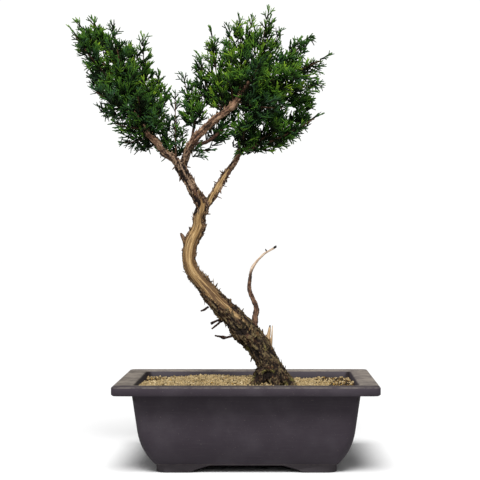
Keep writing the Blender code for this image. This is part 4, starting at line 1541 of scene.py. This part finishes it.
@dataclass
class Crown:
    """All the leafy sprays, each filled with branching fronds whose tips reach its solid's skin.

    Shade-filling fronds are short near-black ones sunk inside a spray: painted shade for its dark depths, and
    partly its old inner leaves. Lengths are in metres and leans in degrees.
    """

    frame: dict
    frond_area: float = 37e-6
    fewest: int = 16
    sparse: float = 1.35
    shade_fill_share: float = 0.34
    shade_fill_length: tuple[float, float] = (0.008, 0.012)
    shade_fill_sunk: tuple[float, float] = (0.007, 0.015)
    shade_fill_tones: tuple[float, float] = (0.15, 0.27)
    frond_length: tuple[float, float] = (0.009, 0.021)
    frond_rise: tuple[float, float] = (-0.006, 0.0036)
    tuft_length: tuple[float, float] = (0.011, 0.016)
    leader: tuple[float, float] = (0.010, 0.0125)
    link_length: float = 0.0075
    shoot_pitch: float = 0.0036
    shoot_radius: float = 0.00086
    shoot_length: tuple[float, float] = (0.0045, 0.0135)
    shoot_lean: tuple[float, float] = (28, 46)
    forked_from: float = 0.0068
    forked_twice_from: float = 0.0085
    tip_length: tuple[float, float] = (0.0038, 0.0064)
    tip_lean: tuple[float, float] = (28, 45)
    stalk_radius: float = 0.00062
    stalk_ages: tuple[float, float] = (0.02, 0.2)
    axis_points: int = 9
    axis_bow: float = 3.2
    columns: int = 24
    roll_spread: float = 0.42
    scales: int = 3
    enough: int = 2450
    limb_view: float = 0.0035
    limb_top: float = 0.367
    limb_front: float = 0.0
    limb: KDTree | None = None

    def template(self) -> Stock:
        """Model one scale-leaved shoot, a unit long and a unit in radius.

        Returns:
            The shoot's stock.
        """
        bpy.ops.object.select_all(action="DESELECT")
        bpy.ops.mesh.primitive_circle_add(vertices=4, radius=0.75, fill_type="NGON")
        piece = bpy.context.active_object
        bpy.ops.object.mode_set(mode="EDIT")
        leafy, nose = 0.88, 0.12
        step = leafy / self.scales
        wide, slim = 1.3, 1.02
        for scale in range(self.scales):
            taper = 0.94 if scale else 1
            sizes = (wide, slim) if scale % 2 else (slim, wide)
            self.pull(step * 0.72, sizes[0] * taper, sizes[1] * taper)
            self.pull(step * 0.28, taper / sizes[0] * 0.96, taper / sizes[1] * 0.96)
        self.pull(nose, 0.2, 0.2)
        bpy.ops.object.mode_set(mode="OBJECT")
        return Stock.of(piece)

    @staticmethod
    def pull(rise: float, x_size: float, y_size: float) -> None:
        """Extrude the selected end face upwards and scale it."""
        bpy.ops.mesh.extrude_region_move(TRANSFORM_OT_translate={"value": (0, 0, rise)})
        bpy.ops.transform.resize(value=(x_size, y_size, 1))

    def build(self) -> None:
        """Fill every spray and make the foliage pieces."""
        material = Foliage().make()
        stock = self.template()
        wood = self.wood_points()
        self.keep_in_view("right_branch")
        names = sorted(name for name in self.frame["nodes"] if "spray" in name)
        waiting, nodes, number, total = Shoots(), [], 1, 0
        twigs: list[list[tuple[Vector, float]]] = []
        for index, name in enumerate(names):
            self.fill_spray(name, wood, waiting, twigs, random.Random(100 + index))
            nodes.append(name)
            if len(waiting.rows) > self.enough or index == len(names) - 1:
                total += len(waiting.rows)
                piece = self.grow(stock, waiting, f"foliage_{number:02d}")
                at_home(piece, material, "foliage", *nodes)
                waiting, nodes, number = Shoots(), [], number + 1
        LOG.info("%d shoots", total)
        self.build_inner_twigs(twigs)

    def wood_points(self) -> KDTree:
        """A search tree over the corners of the living wood."""
        wood = [piece for name, piece in self.frame["nodes"].items() if self.is_wood(name)]
        return tree_of_places([vertex.co for piece in wood for vertex in piece.data.vertices])

    def keep_in_view(self, node: str) -> None:
        """Note where a limb's lower part lies as seen from the front, so that no frond hides it."""
        low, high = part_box(node)
        places = [vertex.co for vertex in self.frame["nodes"][node].data.vertices]
        seen = [Vector((place.x, 0, place.z)) for place in places if place.z < self.limb_top]
        self.limb = tree_of_places(seen)
        self.limb_front = (low.y + high.y) / 2

    @staticmethod
    def is_wood(name: str) -> bool:
        """Whether a node is a living limb that foliage grows from."""
        return name == "trunk" or name.endswith("_branch") or (name.endswith("_twig") and name != "bud_twig")

    def fill_spray(
        self,
        name: str,
        wood: KDTree,
        shoots: Shoots,
        twigs: list[list[tuple[Vector, float]]],
        rng: random.Random,
    ) -> None:
        """Grow one spray inside its solid.

        Args:
            name: The spray's node.
            wood: The living wood.
            shoots: Takes the new shoots.
            twigs: Takes the spray's woody axis.
            rng: The source of chance.
        """
        solid = merged_copy(self.frame, (name,), "envelope")
        mesh = solid.data
        places = [vertex.co.copy() for vertex in mesh.vertices]
        centre = sum(places, Vector()) / len(places)
        foot = min(places, key=lambda place: wood.find(place)[2])
        tip = max(places, key=lambda place: (place - foot).length)
        bow = (centre - (foot + tip) / 2) * self.axis_bow
        axis = []
        reach = 0.9
        for number in range(self.axis_points):
            share = number / (self.axis_points - 1) * reach
            axis.append(foot.lerp(tip, share) + bow * share * (1 - share))
        ahead = (tip - foot).normalized()
        vigour = self.vigour_of(tip, rng)
        faces = [
            (face.area, face.normal.copy(), [places[corner] for corner in face.vertices])
            for face in mesh.polygons
        ]
        bpy.data.objects.remove(solid)
        sparse = self.sparse if vigour is Vigour.SHADED or name.startswith("middle") else 1.0
        skin_area = sum(area for area, _, _ in faces)
        spacing = skin_area / max(self.fewest, int(skin_area / (self.frond_area * sparse)))
        owed = rng.uniform(0, spacing)
        rng.shuffle(faces)
        for area, normal, ring in faces:
            owed += area
            while owed > spacing:
                owed -= spacing
                end = self.somewhere_on(ring, rng)
                self.reach_out(shoots, end, normal, ahead, axis, vigour, rng)
        back, length = self.leader
        self.frond(shoots, tip - ahead * back, ahead, length, UP, vigour, rng)
        for tuft in TUFTS:
            if tuft.node == name:
                self.bridge(tuft, places, shoots, rng)
        thick, taper, anchored = 0.0011, 0.00075, 0.0013
        radii = [thick - taper * number / self.axis_points for number in range(self.axis_points)]
        twigs.append([(wood.find(foot)[0], anchored), *zip(axis, radii)])

    def bridge(self, tuft: Tuft, skin: list[Vector], shoots: Shoots, rng: random.Random) -> None:
        """Grow a tuft's fronds, each on a stalk from the nearest place on the spray's skin.

        Args:
            tuft: The tuft.
            skin: The corners of the spray's skin.
            shoots: Takes the new shoots.
            rng: The source of chance.
        """
        for _ in range(tuft.fronds):
            sides = zip(tuft.middle, tuft.half)
            middle = Vector([at + rng.uniform(-1, 1) * half for at, half in sides]) * MM
            heading = (Vector(tuft.heading).normalized() + stray(rng, 0.25)).normalized()
            length = rng.uniform(*self.tuft_length)
            start = middle - heading * length / 2
            self.frond(shoots, start, heading, length, FRONT, tuft.vigour, rng)
            stem = min(skin, key=lambda place: (place - start).length)
            self.stalk(shoots, stem, start, 0.3)

    def stalk(self, shoots: Shoots, stem: Vector, start: Vector, shade: float) -> None:
        """Grow the plain stalk that bears a frond.

        Args:
            shoots: Takes the stalk.
            stem: Where it leaves the spray.
            start: Where the frond starts.
            shade: Its place across the palette.
        """
        gap = start - stem
        shoots.add(
            stem, gap.normalized(), gap.length, self.stalk_radius, Vector(), shade, self.stalk_ages, 0
        )

    @staticmethod
    def somewhere_on(ring: list[Vector], rng: random.Random) -> Vector:
        """A random place on a triangle, or on the first triangle of a face."""
        first, second = rng.random(), rng.random()
        if first + second > 1:
            first, second = 1 - first, 1 - second
        return ring[0] + (ring[1] - ring[0]) * first + (ring[2] - ring[0]) * second

    def reach_out(
        self,
        shoots: Shoots,
        end: Vector,
        normal: Vector,
        ahead: Vector,
        axis: list[Vector],
        vigour: Vigour,
        rng: random.Random,
    ) -> None:
        """Grow a frond whose tip is near a place on the spray's skin, and the stalk that bears it.

        Args:
            shoots: Takes the new shoots.
            end: The place on the skin.
            normal: The skin's outward direction there.
            ahead: The spray's direction.
            axis: The spray's woody axis.
            vigour: How fresh the spray is.
            rng: The source of chance.
        """
        droop, stem_lag, long_stalk, short_stalk = -0.15, 0.012, 0.004, 0.002
        heading = (ahead * 0.62 + normal * 0.6 + UP * 0.16 + stray(rng, 0.22)).normalized()
        if heading.z < droop:
            heading = (heading - UP * (heading.z - droop)).normalized()
        stem = min(axis, key=lambda place: (place - end + ahead * stem_lag).length)
        room = (end - stem).length
        # Some fronds are painted shade: short, sunk inside the spray and near black.
        deep = rng.random() < self.shade_fill_share
        if deep:
            length = rng.uniform(*self.shade_fill_length)
            rise = -min(room * 0.5, rng.uniform(*self.shade_fill_sunk))
        else:
            shortest, longest = self.frond_length
            length = min(longest, max(shortest, room * rng.uniform(0.75, 1.0)))
            rise = rng.uniform(*self.frond_rise)
        if vigour is Vigour.SHADED:
            end = end + UP * (max(0.0, -normal.z) * 0.004 + max(0.0, normal.z) * 0.005)
        end = end + heading * rise
        start = end - heading * length
        gap = start - stem
        doubles_back = gap.length > long_stalk and gap.dot(heading) < -0.3 * gap.length
        if doubles_back or self.hides_limb(start.lerp(end, 0.5)) or self.hides_limb(end):
            return
        self.frond(shoots, start, heading, length, normal, Vigour.BURIED if deep else vigour, rng)
        if gap.length > short_stalk:
            self.stalk(shoots, stem, start, rng.uniform(0.1, 0.5))

    def hides_limb(self, place: Vector) -> bool:
        """Whether a place lies just in front of the limb that is kept in view."""
        away = self.limb.find(Vector((place.x, 0, place.z)))[2]
        return away < self.limb_view and place.y < self.limb_front

    @staticmethod
    def vigour_of(tip: Vector, rng: random.Random) -> Vigour:
        """Sprays whose tips are higher are fresher."""
        crown_foot, crown_rise = 0.33, 0.1
        exposure = (tip.z - crown_foot) / crown_rise + rng.uniform(-0.45, 0.45)
        if exposure > 0.62:
            return Vigour.FRESH
        return Vigour.STEADY if exposure > 0.1 else Vigour.SHADED

    def frond(
        self,
        shoots: Shoots,
        start: Vector,
        heading: Vector,
        length: float,
        outwards: Vector,
        vigour: Vigour,
        rng: random.Random,
    ) -> None:
        """Grow one frond: a chain of shoots with side shoots by turns.

        Args:
            shoots: Takes the new shoots.
            start: Where the frond leaves its stalk.
            heading: Its direction.
            length: Its length in metres.
            outwards: The direction away from the axis.
            vigour: How fresh it is.
            rng: The source of chance.
        """
        is_shade_filler = vigour is Vigour.BURIED
        if is_shade_filler:
            shade = rng.uniform(*self.shade_fill_tones)
        else:
            shade = min(0.97, max(0.03, vigour.value + rng.gauss(0, 0.17)))
        # Painted shade: these fronds take the darkest, oldest part of the palette.
        aged = 0.5 if is_shade_filler else 1.0
        bend = (UP * 0.10 + outwards * rng.uniform(-0.12, 0.10)) * length
        links = max(1, round(length / self.link_length))
        flat = heading.cross(UP if abs(heading.z) < 0.9 else FRONT).normalized()
        fan = heading.cross(outwards)
        tilt, too_short = rng.gauss(0, 0.5), 0.2
        flat = fan.normalized() if fan.length > too_short else flat
        across = flat * math.cos(tilt) + heading.cross(flat) * math.sin(tilt)

        def on(share: float) -> Vector:
            """The place at a share of the frond's length."""
            return start + heading * length * share + bend * share * share

        for link in range(links):
            low, high = link / links, (link + 1) / links
            run = on(min(1, high + 0.05)) - on(low)
            radius = self.shoot_radius * (1.1 - 0.3 * low)
            ages = ((0.12 + 0.6 * low) * aged, (0.18 + 0.82 * high) * aged)
            roll = rng.uniform(0, 6)
            shoots.add(on(low), run.normalized(), run.length, radius, Vector(), shade, ages, roll)
        count = max(3, int(length / self.shoot_pitch))
        for number in range(count):
            share = max(0.03, 0.06 + 0.8 * (number + rng.uniform(-0.25, 0.25)) / count)
            sign = 1 if number % 2 else -1
            roll = rng.gauss(0, self.roll_spread)
            swing = across * sign * math.cos(roll) + heading.cross(across) * math.sin(roll)
            lean = math.radians(rng.uniform(*self.shoot_lean))
            aim = (heading * math.cos(lean) + swing * math.sin(lean) + UP * 0.06).normalized()
            size = (0.0050 + 0.58 * length * (1 - share)) * rng.uniform(0.7, 1.2)
            shortest, longest = self.shoot_length
            size = min(longest, max(shortest, size))
            old = min(1, 0.66 + 0.34 * share + rng.uniform(-0.12, 0.12))
            ages = ((0.25 + 0.4 * share) * aged, old * aged)
            tone = min(0.98, max(0.02, shade + rng.gauss(0, 0.04 if is_shade_filler else 0.16)))
            curl = (heading - aim) * 0.18 + UP * 0.03
            shoots.add(on(share), aim, size, self.shoot_radius * 0.95, curl, tone, ages, rng.uniform(0, 6))
            if size > self.forked_from and not is_shade_filler:
                self.side_tips(shoots, on(share), aim, size, swing.cross(heading), tone, ages, rng)

    def side_tips(
        self,
        shoots: Shoots,
        start: Vector,
        aim: Vector,
        size: float,
        normal: Vector,
        tone: float,
        ages: tuple[float, float],
        rng: random.Random,
    ) -> None:
        """Grow short tips from both sides of a side shoot.

        Args:
            shoots: Takes the new shoots.
            start: The side shoot's foot.
            aim: Its direction.
            size: Its length.
            normal: The direction across the frond.
            tone: Its place across the palette.
            ages: Its ages at foot and tip.
            rng: The source of chance.
        """
        across = aim.cross(normal).normalized()
        for number in range(1 if size < self.forked_twice_from else 2):
            share = 0.34 + 0.24 * number + rng.uniform(-0.05, 0.05)
            sign = 1 if number % 2 else -1
            lean = math.radians(rng.uniform(*self.tip_lean))
            tip = aim * math.cos(lean) + across * sign * math.sin(lean) + normal * rng.gauss(0, 0.25)
            length = rng.uniform(*self.tip_length)
            old = (ages[0] + 0.1, min(1, ages[1] + 0.03))
            place, radius, roll = start + aim * size * share, self.shoot_radius * 0.8, rng.uniform(0, 6)
            shoots.add(place, tip.normalized(), length, radius, Vector(), tone, old, roll)

    def grow(self, stock: Stock, shoots: Shoots, name: str) -> bpy.types.Object:
        """Make one piece of many shoots.

        Args:
            stock: The modelled shoot.
            shoots: Where the copies go.
            name: The new piece's name.

        Returns:
            The piece.
        """
        rows = np.array(shoots.rows)
        start, heading = rows[:, 0:3], rows[:, 3:6]
        length, radius, bend = rows[:, 6], rows[:, 7], rows[:, 8:11]
        shade, young, old, roll = rows[:, 11], rows[:, 12], rows[:, 13], rows[:, 14]
        askew = np.array((0.31, 0.17, 0.93))
        side = np.cross(heading, askew)
        side /= np.linalg.norm(side, axis=1)[:, None]
        third = np.cross(heading, side)
        turned = side * np.cos(roll)[:, None] + third * np.sin(roll)[:, None]
        third = np.cross(heading, turned)
        unit = stock.places
        share = unit[None, :, 2]
        places = start[:, None] + heading[:, None] * (share * length[:, None])[:, :, None]
        places = places + bend[:, None] * (share**2 * length[:, None])[:, :, None]
        places = places + turned[:, None] * (unit[None, :, 0] * radius[:, None])[:, :, None]
        places = places + third[:, None] * (unit[None, :, 1] * radius[:, None])[:, :, None]
        column = np.clip((shade * self.columns).astype(int), 0, self.columns - 1)
        palette = np.empty((len(rows), len(stock.palette), 2))
        palette[:, :, 0] = (column[:, None] + 0.1 + 0.6 * stock.palette[None, :, 0]) / self.columns
        palette[:, :, 1] = young[:, None] + (old - young)[:, None] * stock.palette[None, :, 1] * 0.98 + 0.01
        return stock.fill(name, places, palette)

    def build_inner_twigs(self, twigs: list[list[tuple[Vector, float]]]) -> None:
        """Join the sprays' woody axes to the branches.

        Args:
            twigs: Each spray's axis as places with radii.
        """
        data = bpy.data.curves.new("inner_twigs", "CURVE")
        data.dimensions = "3D"
        data.bevel_depth = 1
        data.bevel_resolution = 1
        data.use_fill_caps = True
        for twig in twigs:
            spline = data.splines.new("POLY")
            spline.points.add(len(twig) - 1)
            for point, (place, radius) in zip(spline.points, twig):
                point.co = (*place, 1)
                point.radius = radius
        alone(new_object("inner_twigs", data))
        bpy.ops.object.convert(target="MESH")
        piece = bpy.context.view_layer.objects.active
        weld(turn_outwards=True)
        piece.data.shade_smooth()
        places = corners(piece.data) / MM
        relief = 0.5 + 0.3 * noise_at(places, 2.2, 6)
        grain = places * (1, 1, 0.5)
        describe(piece.data, grain=grain, peeled=0, relief=relief, mossy=0, weathered=0)
        finish = Bark(
            furrow=(0.012, 0.006, 0.003),
            brown=(0.055, 0.028, 0.014),
            flake=(0.13, 0.075, 0.038),
            name="bark_of_inner_twigs",
        )
        at_home(piece, finish.make(), "twig_bark")


# Pot and ground


@dataclass
class Ground:
    """The grit: its packed bed, and the loose grains that cover it.

    Lengths are in metres. Each patch of litter has its X and Y from the pot's middle, and its reach.
    """

    frame: dict
    crease: float = 50
    spacing: float = 0.0020
    grain: tuple[float, float] = (0.00085, 0.00165)
    loose: int = 1900
    bedded: tuple[float, float] = (0.15, 0.85)
    fall: float = 0.05
    clear: float = 0.0005
    headroom: float = 0.008
    steepest: float = 0.3
    litter_share: tuple[float, float] = (0.03, 0.94)
    litter_core: float = 0.65
    litter_ragged: float = 0.006
    litter_shades: float = 0.115
    grit_shades: tuple[float, float] = (0.2, 0.78)
    litter: tuple[tuple[float, float, float], ...] = (
        (-0.094, 0.050, 0.016),
        (0.090, 0.020, 0.027),
        (0.084, 0.056, 0.016),
        (0.096, -0.022, 0.021),
        (-0.028, 0.062, 0.015),
        (0.020, 0.006, 0.012),
    )
    settled: tuple[float, float] = (0.0012, 0.0034)
    settled_right: tuple[float, float] = (0.028, 0.05)
    settled_behind: tuple[float, float] = (-0.02, 0.04)
    full_below: float = 0.004

    def build(self) -> None:
        """Make the bed and the grains."""
        bed = merged_copy(self.frame, ("top_grit",), "grit_bed")
        self.settle(bed)
        bed.data.shade_smooth()
        bed.data.set_sharp_from_angle(angle=math.radians(self.crease))
        at_home(bed, GritBed().make(), "grit", "top_grit")
        self.build_grains(bed)

    def settle(self, bed: bpy.types.Object) -> None:
        """Let the bed's top sink a little, and more behind the trunk and to its right, as watering does.

        Args:
            bed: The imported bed.
        """
        low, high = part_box("top_grit")
        places = corners(bed.data)
        on_top = smooth_step(places[:, 2], low.z + 0.4 * (high.z - low.z), high.z - self.full_below)
        right = smooth_step(places[:, 0], *self.settled_right)
        behind = smooth_step(places[:, 1], *self.settled_behind)
        little, much = self.settled
        places[:, 2] -= on_top * (little + (much - little) * right * behind)
        set_corners(bed.data, places)

    def template(self) -> Stock:
        """Model one rough grain, a unit in radius.

        Returns:
            The grain's stock.
        """
        bpy.ops.object.select_all(action="DESELECT")
        bpy.ops.mesh.primitive_ico_sphere_add(subdivisions=1, radius=1)
        piece = bpy.context.active_object
        bpy.ops.object.mode_set(mode="EDIT")
        bpy.ops.transform.vertex_random(offset=0.32, seed=4)
        bpy.ops.mesh.select_all(action="SELECT")
        bpy.ops.transform.resize(value=(1, 0.86, 0.78))
        bpy.ops.object.mode_set(mode="OBJECT")
        return Stock.of(piece)

    def build_grains(self, bed: bpy.types.Object) -> None:
        """Scatter grains over the bed wherever it is open to the sky.

        Args:
            bed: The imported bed.
        """
        rng = random.Random(17)
        surface = tree_of(bed)
        trunk = merged_copy(self.frame, ("trunk",), "cover")
        cover = tree_of(trunk)
        bpy.data.objects.remove(trunk)
        low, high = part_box("top_grit")
        rows: list[tuple[float, ...]] = []

        def drop(x: float, y: float, lift: float) -> None:
            """Lay a grain on the bed, raised by a share of its radius."""
            above = Vector((x, y, high.z + self.fall))
            hit, normal, _, _ = surface.ray_cast(above, -UP)
            if hit is None or normal.z < self.steepest:
                return
            if cover.ray_cast(hit + UP * self.clear, UP, self.headroom)[0] is not None:
                return
            size = rng.uniform(*self.grain) * rng.choice((0.75, 1, 1, 1.15))
            rows.append((*(hit + UP * size * lift), size, rng.random(), rng.random(), *self.turn(rng)))

        low_lift, high_lift = self.bedded
        steps_x = int((high.x - low.x) / self.spacing)
        steps_y = int((high.y - low.y) / self.spacing)
        for i in range(steps_x + 1):
            for j in range(steps_y + 1):
                x = low.x + (i + rng.uniform(0.05, 0.95)) * self.spacing
                y = low.y + (j + rng.uniform(0.05, 0.95)) * self.spacing
                drop(x, y, low_lift)
        for _ in range(self.loose):
            drop(rng.uniform(low.x, high.x), rng.uniform(low.y, high.y), high_lift)
        stock = self.template()
        piece = stock.fill("grit_grains", *self.spread(stock, np.array(rows)))
        at_home(piece, GritGrain().make(), "grit")

    @staticmethod
    def turn(rng: random.Random) -> tuple[float, float, float]:
        """A random turn as three angles."""
        return rng.uniform(0, math.tau), rng.uniform(0, math.tau), rng.uniform(0, math.tau)

    def organic(self, places: np.ndarray) -> np.ndarray:
        """How much of the ground is bits of bark and leaf litter, which lie in a few patches."""
        low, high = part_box("pot")
        middle = np.array((low + high) / 2)
        ragged = self.litter_ragged * noise_at(places / MM, 6, 8)
        stray_share, patch_share = self.litter_share
        found = np.full(len(places), stray_share)
        for x, y, reach in self.litter:
            away = np.hypot(places[:, 0] - middle[0] - x, places[:, 1] - middle[1] - y) + ragged
            inside = 1 - smooth_step(away, reach * self.litter_core, reach)
            found = np.maximum(found, patch_share * inside)
        return found

    def spread(self, stock: Stock, rows: np.ndarray) -> tuple[np.ndarray, np.ndarray]:
        """Place the grains' copies.

        Args:
            stock: The modelled grain.
            rows: Each grain's place, size, shades and turn.

        Returns:
            The copies' corners and palette places.
        """
        turns = np.array([np.array(Euler(angles).to_matrix()) for angles in rows[:, 6:9]])
        shapes = np.einsum("nij,kj->nki", turns, stock.places)
        places = rows[:, None, 0:3] + shapes * rows[:, 3][:, None, None]
        litter = self.organic(rows[:, 0:3]) > rows[:, 4]
        darkest, spread = self.grit_shades
        # Squared, so that most litter grains are near black: partly rotting litter, partly painted shade
        # between the grains.
        shade = np.where(litter, self.litter_shades * rows[:, 5] ** 2, darkest + spread * rows[:, 4])
        palette = np.empty((len(rows), len(stock.palette), 2))
        low = stock.palette.min(0)
        size = np.ptp(stock.palette, axis=0)
        unit = (stock.palette - low) / size
        palette[:, :, 0] = shade[:, None] * 0.96 + 0.02 * unit[None, :, 0] + 0.01
        palette[:, :, 1] = 0.02 + 0.9 * rows[:, 5][:, None] + 0.06 * unit[None, :, 1]
        return places, palette


@dataclass
class Pot:
    """The moulded pot with its drainage screens and the potting mix inside."""

    frame: dict
    crease: float = 28
    flange: float = 0.0185

    def build(self) -> None:
        """Make the pot and dress what lies inside it."""
        shell = merged_copy(self.frame, ("pot",), "pot_moulded")
        shell.data.shade_smooth()
        shell.data.set_sharp_from_angle(angle=math.radians(self.crease))
        _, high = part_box("pot")
        finish = PotPlastic((high.x, high.y), self.flange)
        at_home(shell, finish.make(), "pot_plastic", "pot")
        self.dress("root_soil", PottingMix().make())
        for side in ("left", "right"):
            self.dress(f"drainage_screen_{side}", ScreenPlastic().make())

    def dress(self, node: str, material: bpy.types.Material) -> None:
        """Give a frame node its finish."""
        mesh = self.frame["nodes"][node].data
        mesh.materials.clear()
        mesh.materials.append(material)


@dataclass
class Set:
    """The floor, the soft light and the camera, with lengths in metres."""

    lens: float = 103.7
    film: float = 36
    distance: float = 1.3425
    height: float = 0.2127
    aside: float = 0.021
    shift: tuple[float, float] = (-0.0604, 0.0083)
    floor_size: float = 30
    floor_drop: float = 0.0004
    ambient: float = 0.22
    white_seen: float = 1.05
    daylight: float = 3.9
    daylight_spread: float = 26
    from_side: tuple[float, float, float] = (-0.03, -0.74, 1.0)
    lamp_place: tuple[float, float, float] = (-0.1, -1.6, 1.1)
    lamp_size: float = 1.8
    lamp_power: float = 11
    lamp_aim: float = 0.18

    def build(self) -> None:
        """Make the floor, the lights and the camera."""
        low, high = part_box("pot")
        middle = (low + high) / 2
        bpy.ops.object.select_all(action="DESELECT")
        place = (0, 0, -self.floor_drop)
        bpy.ops.mesh.primitive_grid_add(
            x_subdivisions=8, y_subdivisions=8, size=self.floor_size, location=place
        )
        floor = bpy.context.active_object
        floor.name = "studio_floor"
        floor.data.materials.append(Studio().make())
        self.add_camera(middle)
        self.add_lights(middle)

    def add_camera(self, middle: Vector) -> None:
        """Stand the camera in front of the pot, level with the middle of the tree."""
        data = bpy.data.cameras.new("camera")
        data.lens = self.lens
        data.sensor_width = self.film
        data.shift_x, data.shift_y = self.shift
        data.clip_start, data.clip_end = 0.05, 60
        camera = new_object("camera", data)
        camera.location = (middle.x + self.aside, middle.y - self.distance, self.height)
        camera.rotation_euler = (math.radians(90), 0, 0)
        bpy.context.scene.camera = camera

    def add_lights(self, middle: Vector) -> None:
        """Light the white room: broad daylight from above in front, and a soft lamp in front."""
        world = bpy.data.worlds.new("white_room")
        world.use_nodes = True
        tree = world.node_tree
        background = next(n for n in tree.nodes if n.type == "BACKGROUND")
        background.inputs["Color"].default_value = (1, 1, 1, 1)
        path = tree.nodes.new("ShaderNodeLightPath")
        strength = tree.nodes.new("ShaderNodeMapRange")
        strength.inputs["To Min"].default_value = self.ambient
        strength.inputs["To Max"].default_value = self.white_seen
        tree.links.new(path.outputs["Is Camera Ray"], strength.inputs["Value"])
        tree.links.new(strength.outputs[0], background.inputs["Strength"])
        bpy.context.scene.world = world
        sun = bpy.data.lights.new("daylight", "SUN")
        sun.energy = self.daylight
        sun.angle = math.radians(self.daylight_spread)
        daylight = new_object("daylight", sun)
        daylight.rotation_euler = Vector(self.from_side).to_track_quat("Z", "Y").to_euler()
        disk = bpy.data.lights.new("front_lamp", "AREA")
        disk.shape = "DISK"
        disk.size = self.lamp_size
        disk.energy = self.lamp_power
        lamp = new_object("front_lamp", disk)
        lamp.location = middle + Vector(self.lamp_place)
        target = middle + UP * self.lamp_aim
        lamp.rotation_euler = (target - lamp.location).to_track_quat("-Z", "Y").to_euler()


def main() -> None:
    """Build the tree, the ground, the pot and the set round the frame."""
    logging.basicConfig(level=logging.INFO, format="%(name)s: %(message)s")
    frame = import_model()
    bpy.ops.object.select_all(action="DESELECT")
    Wood(frame).build()
    Crown(frame).build()
    Ground(frame).build()
    Pot(frame).build()
    Set().build()
    bpy.context.scene.view_settings.view_transform = "Standard"


if __name__ == "__main__":
    main()
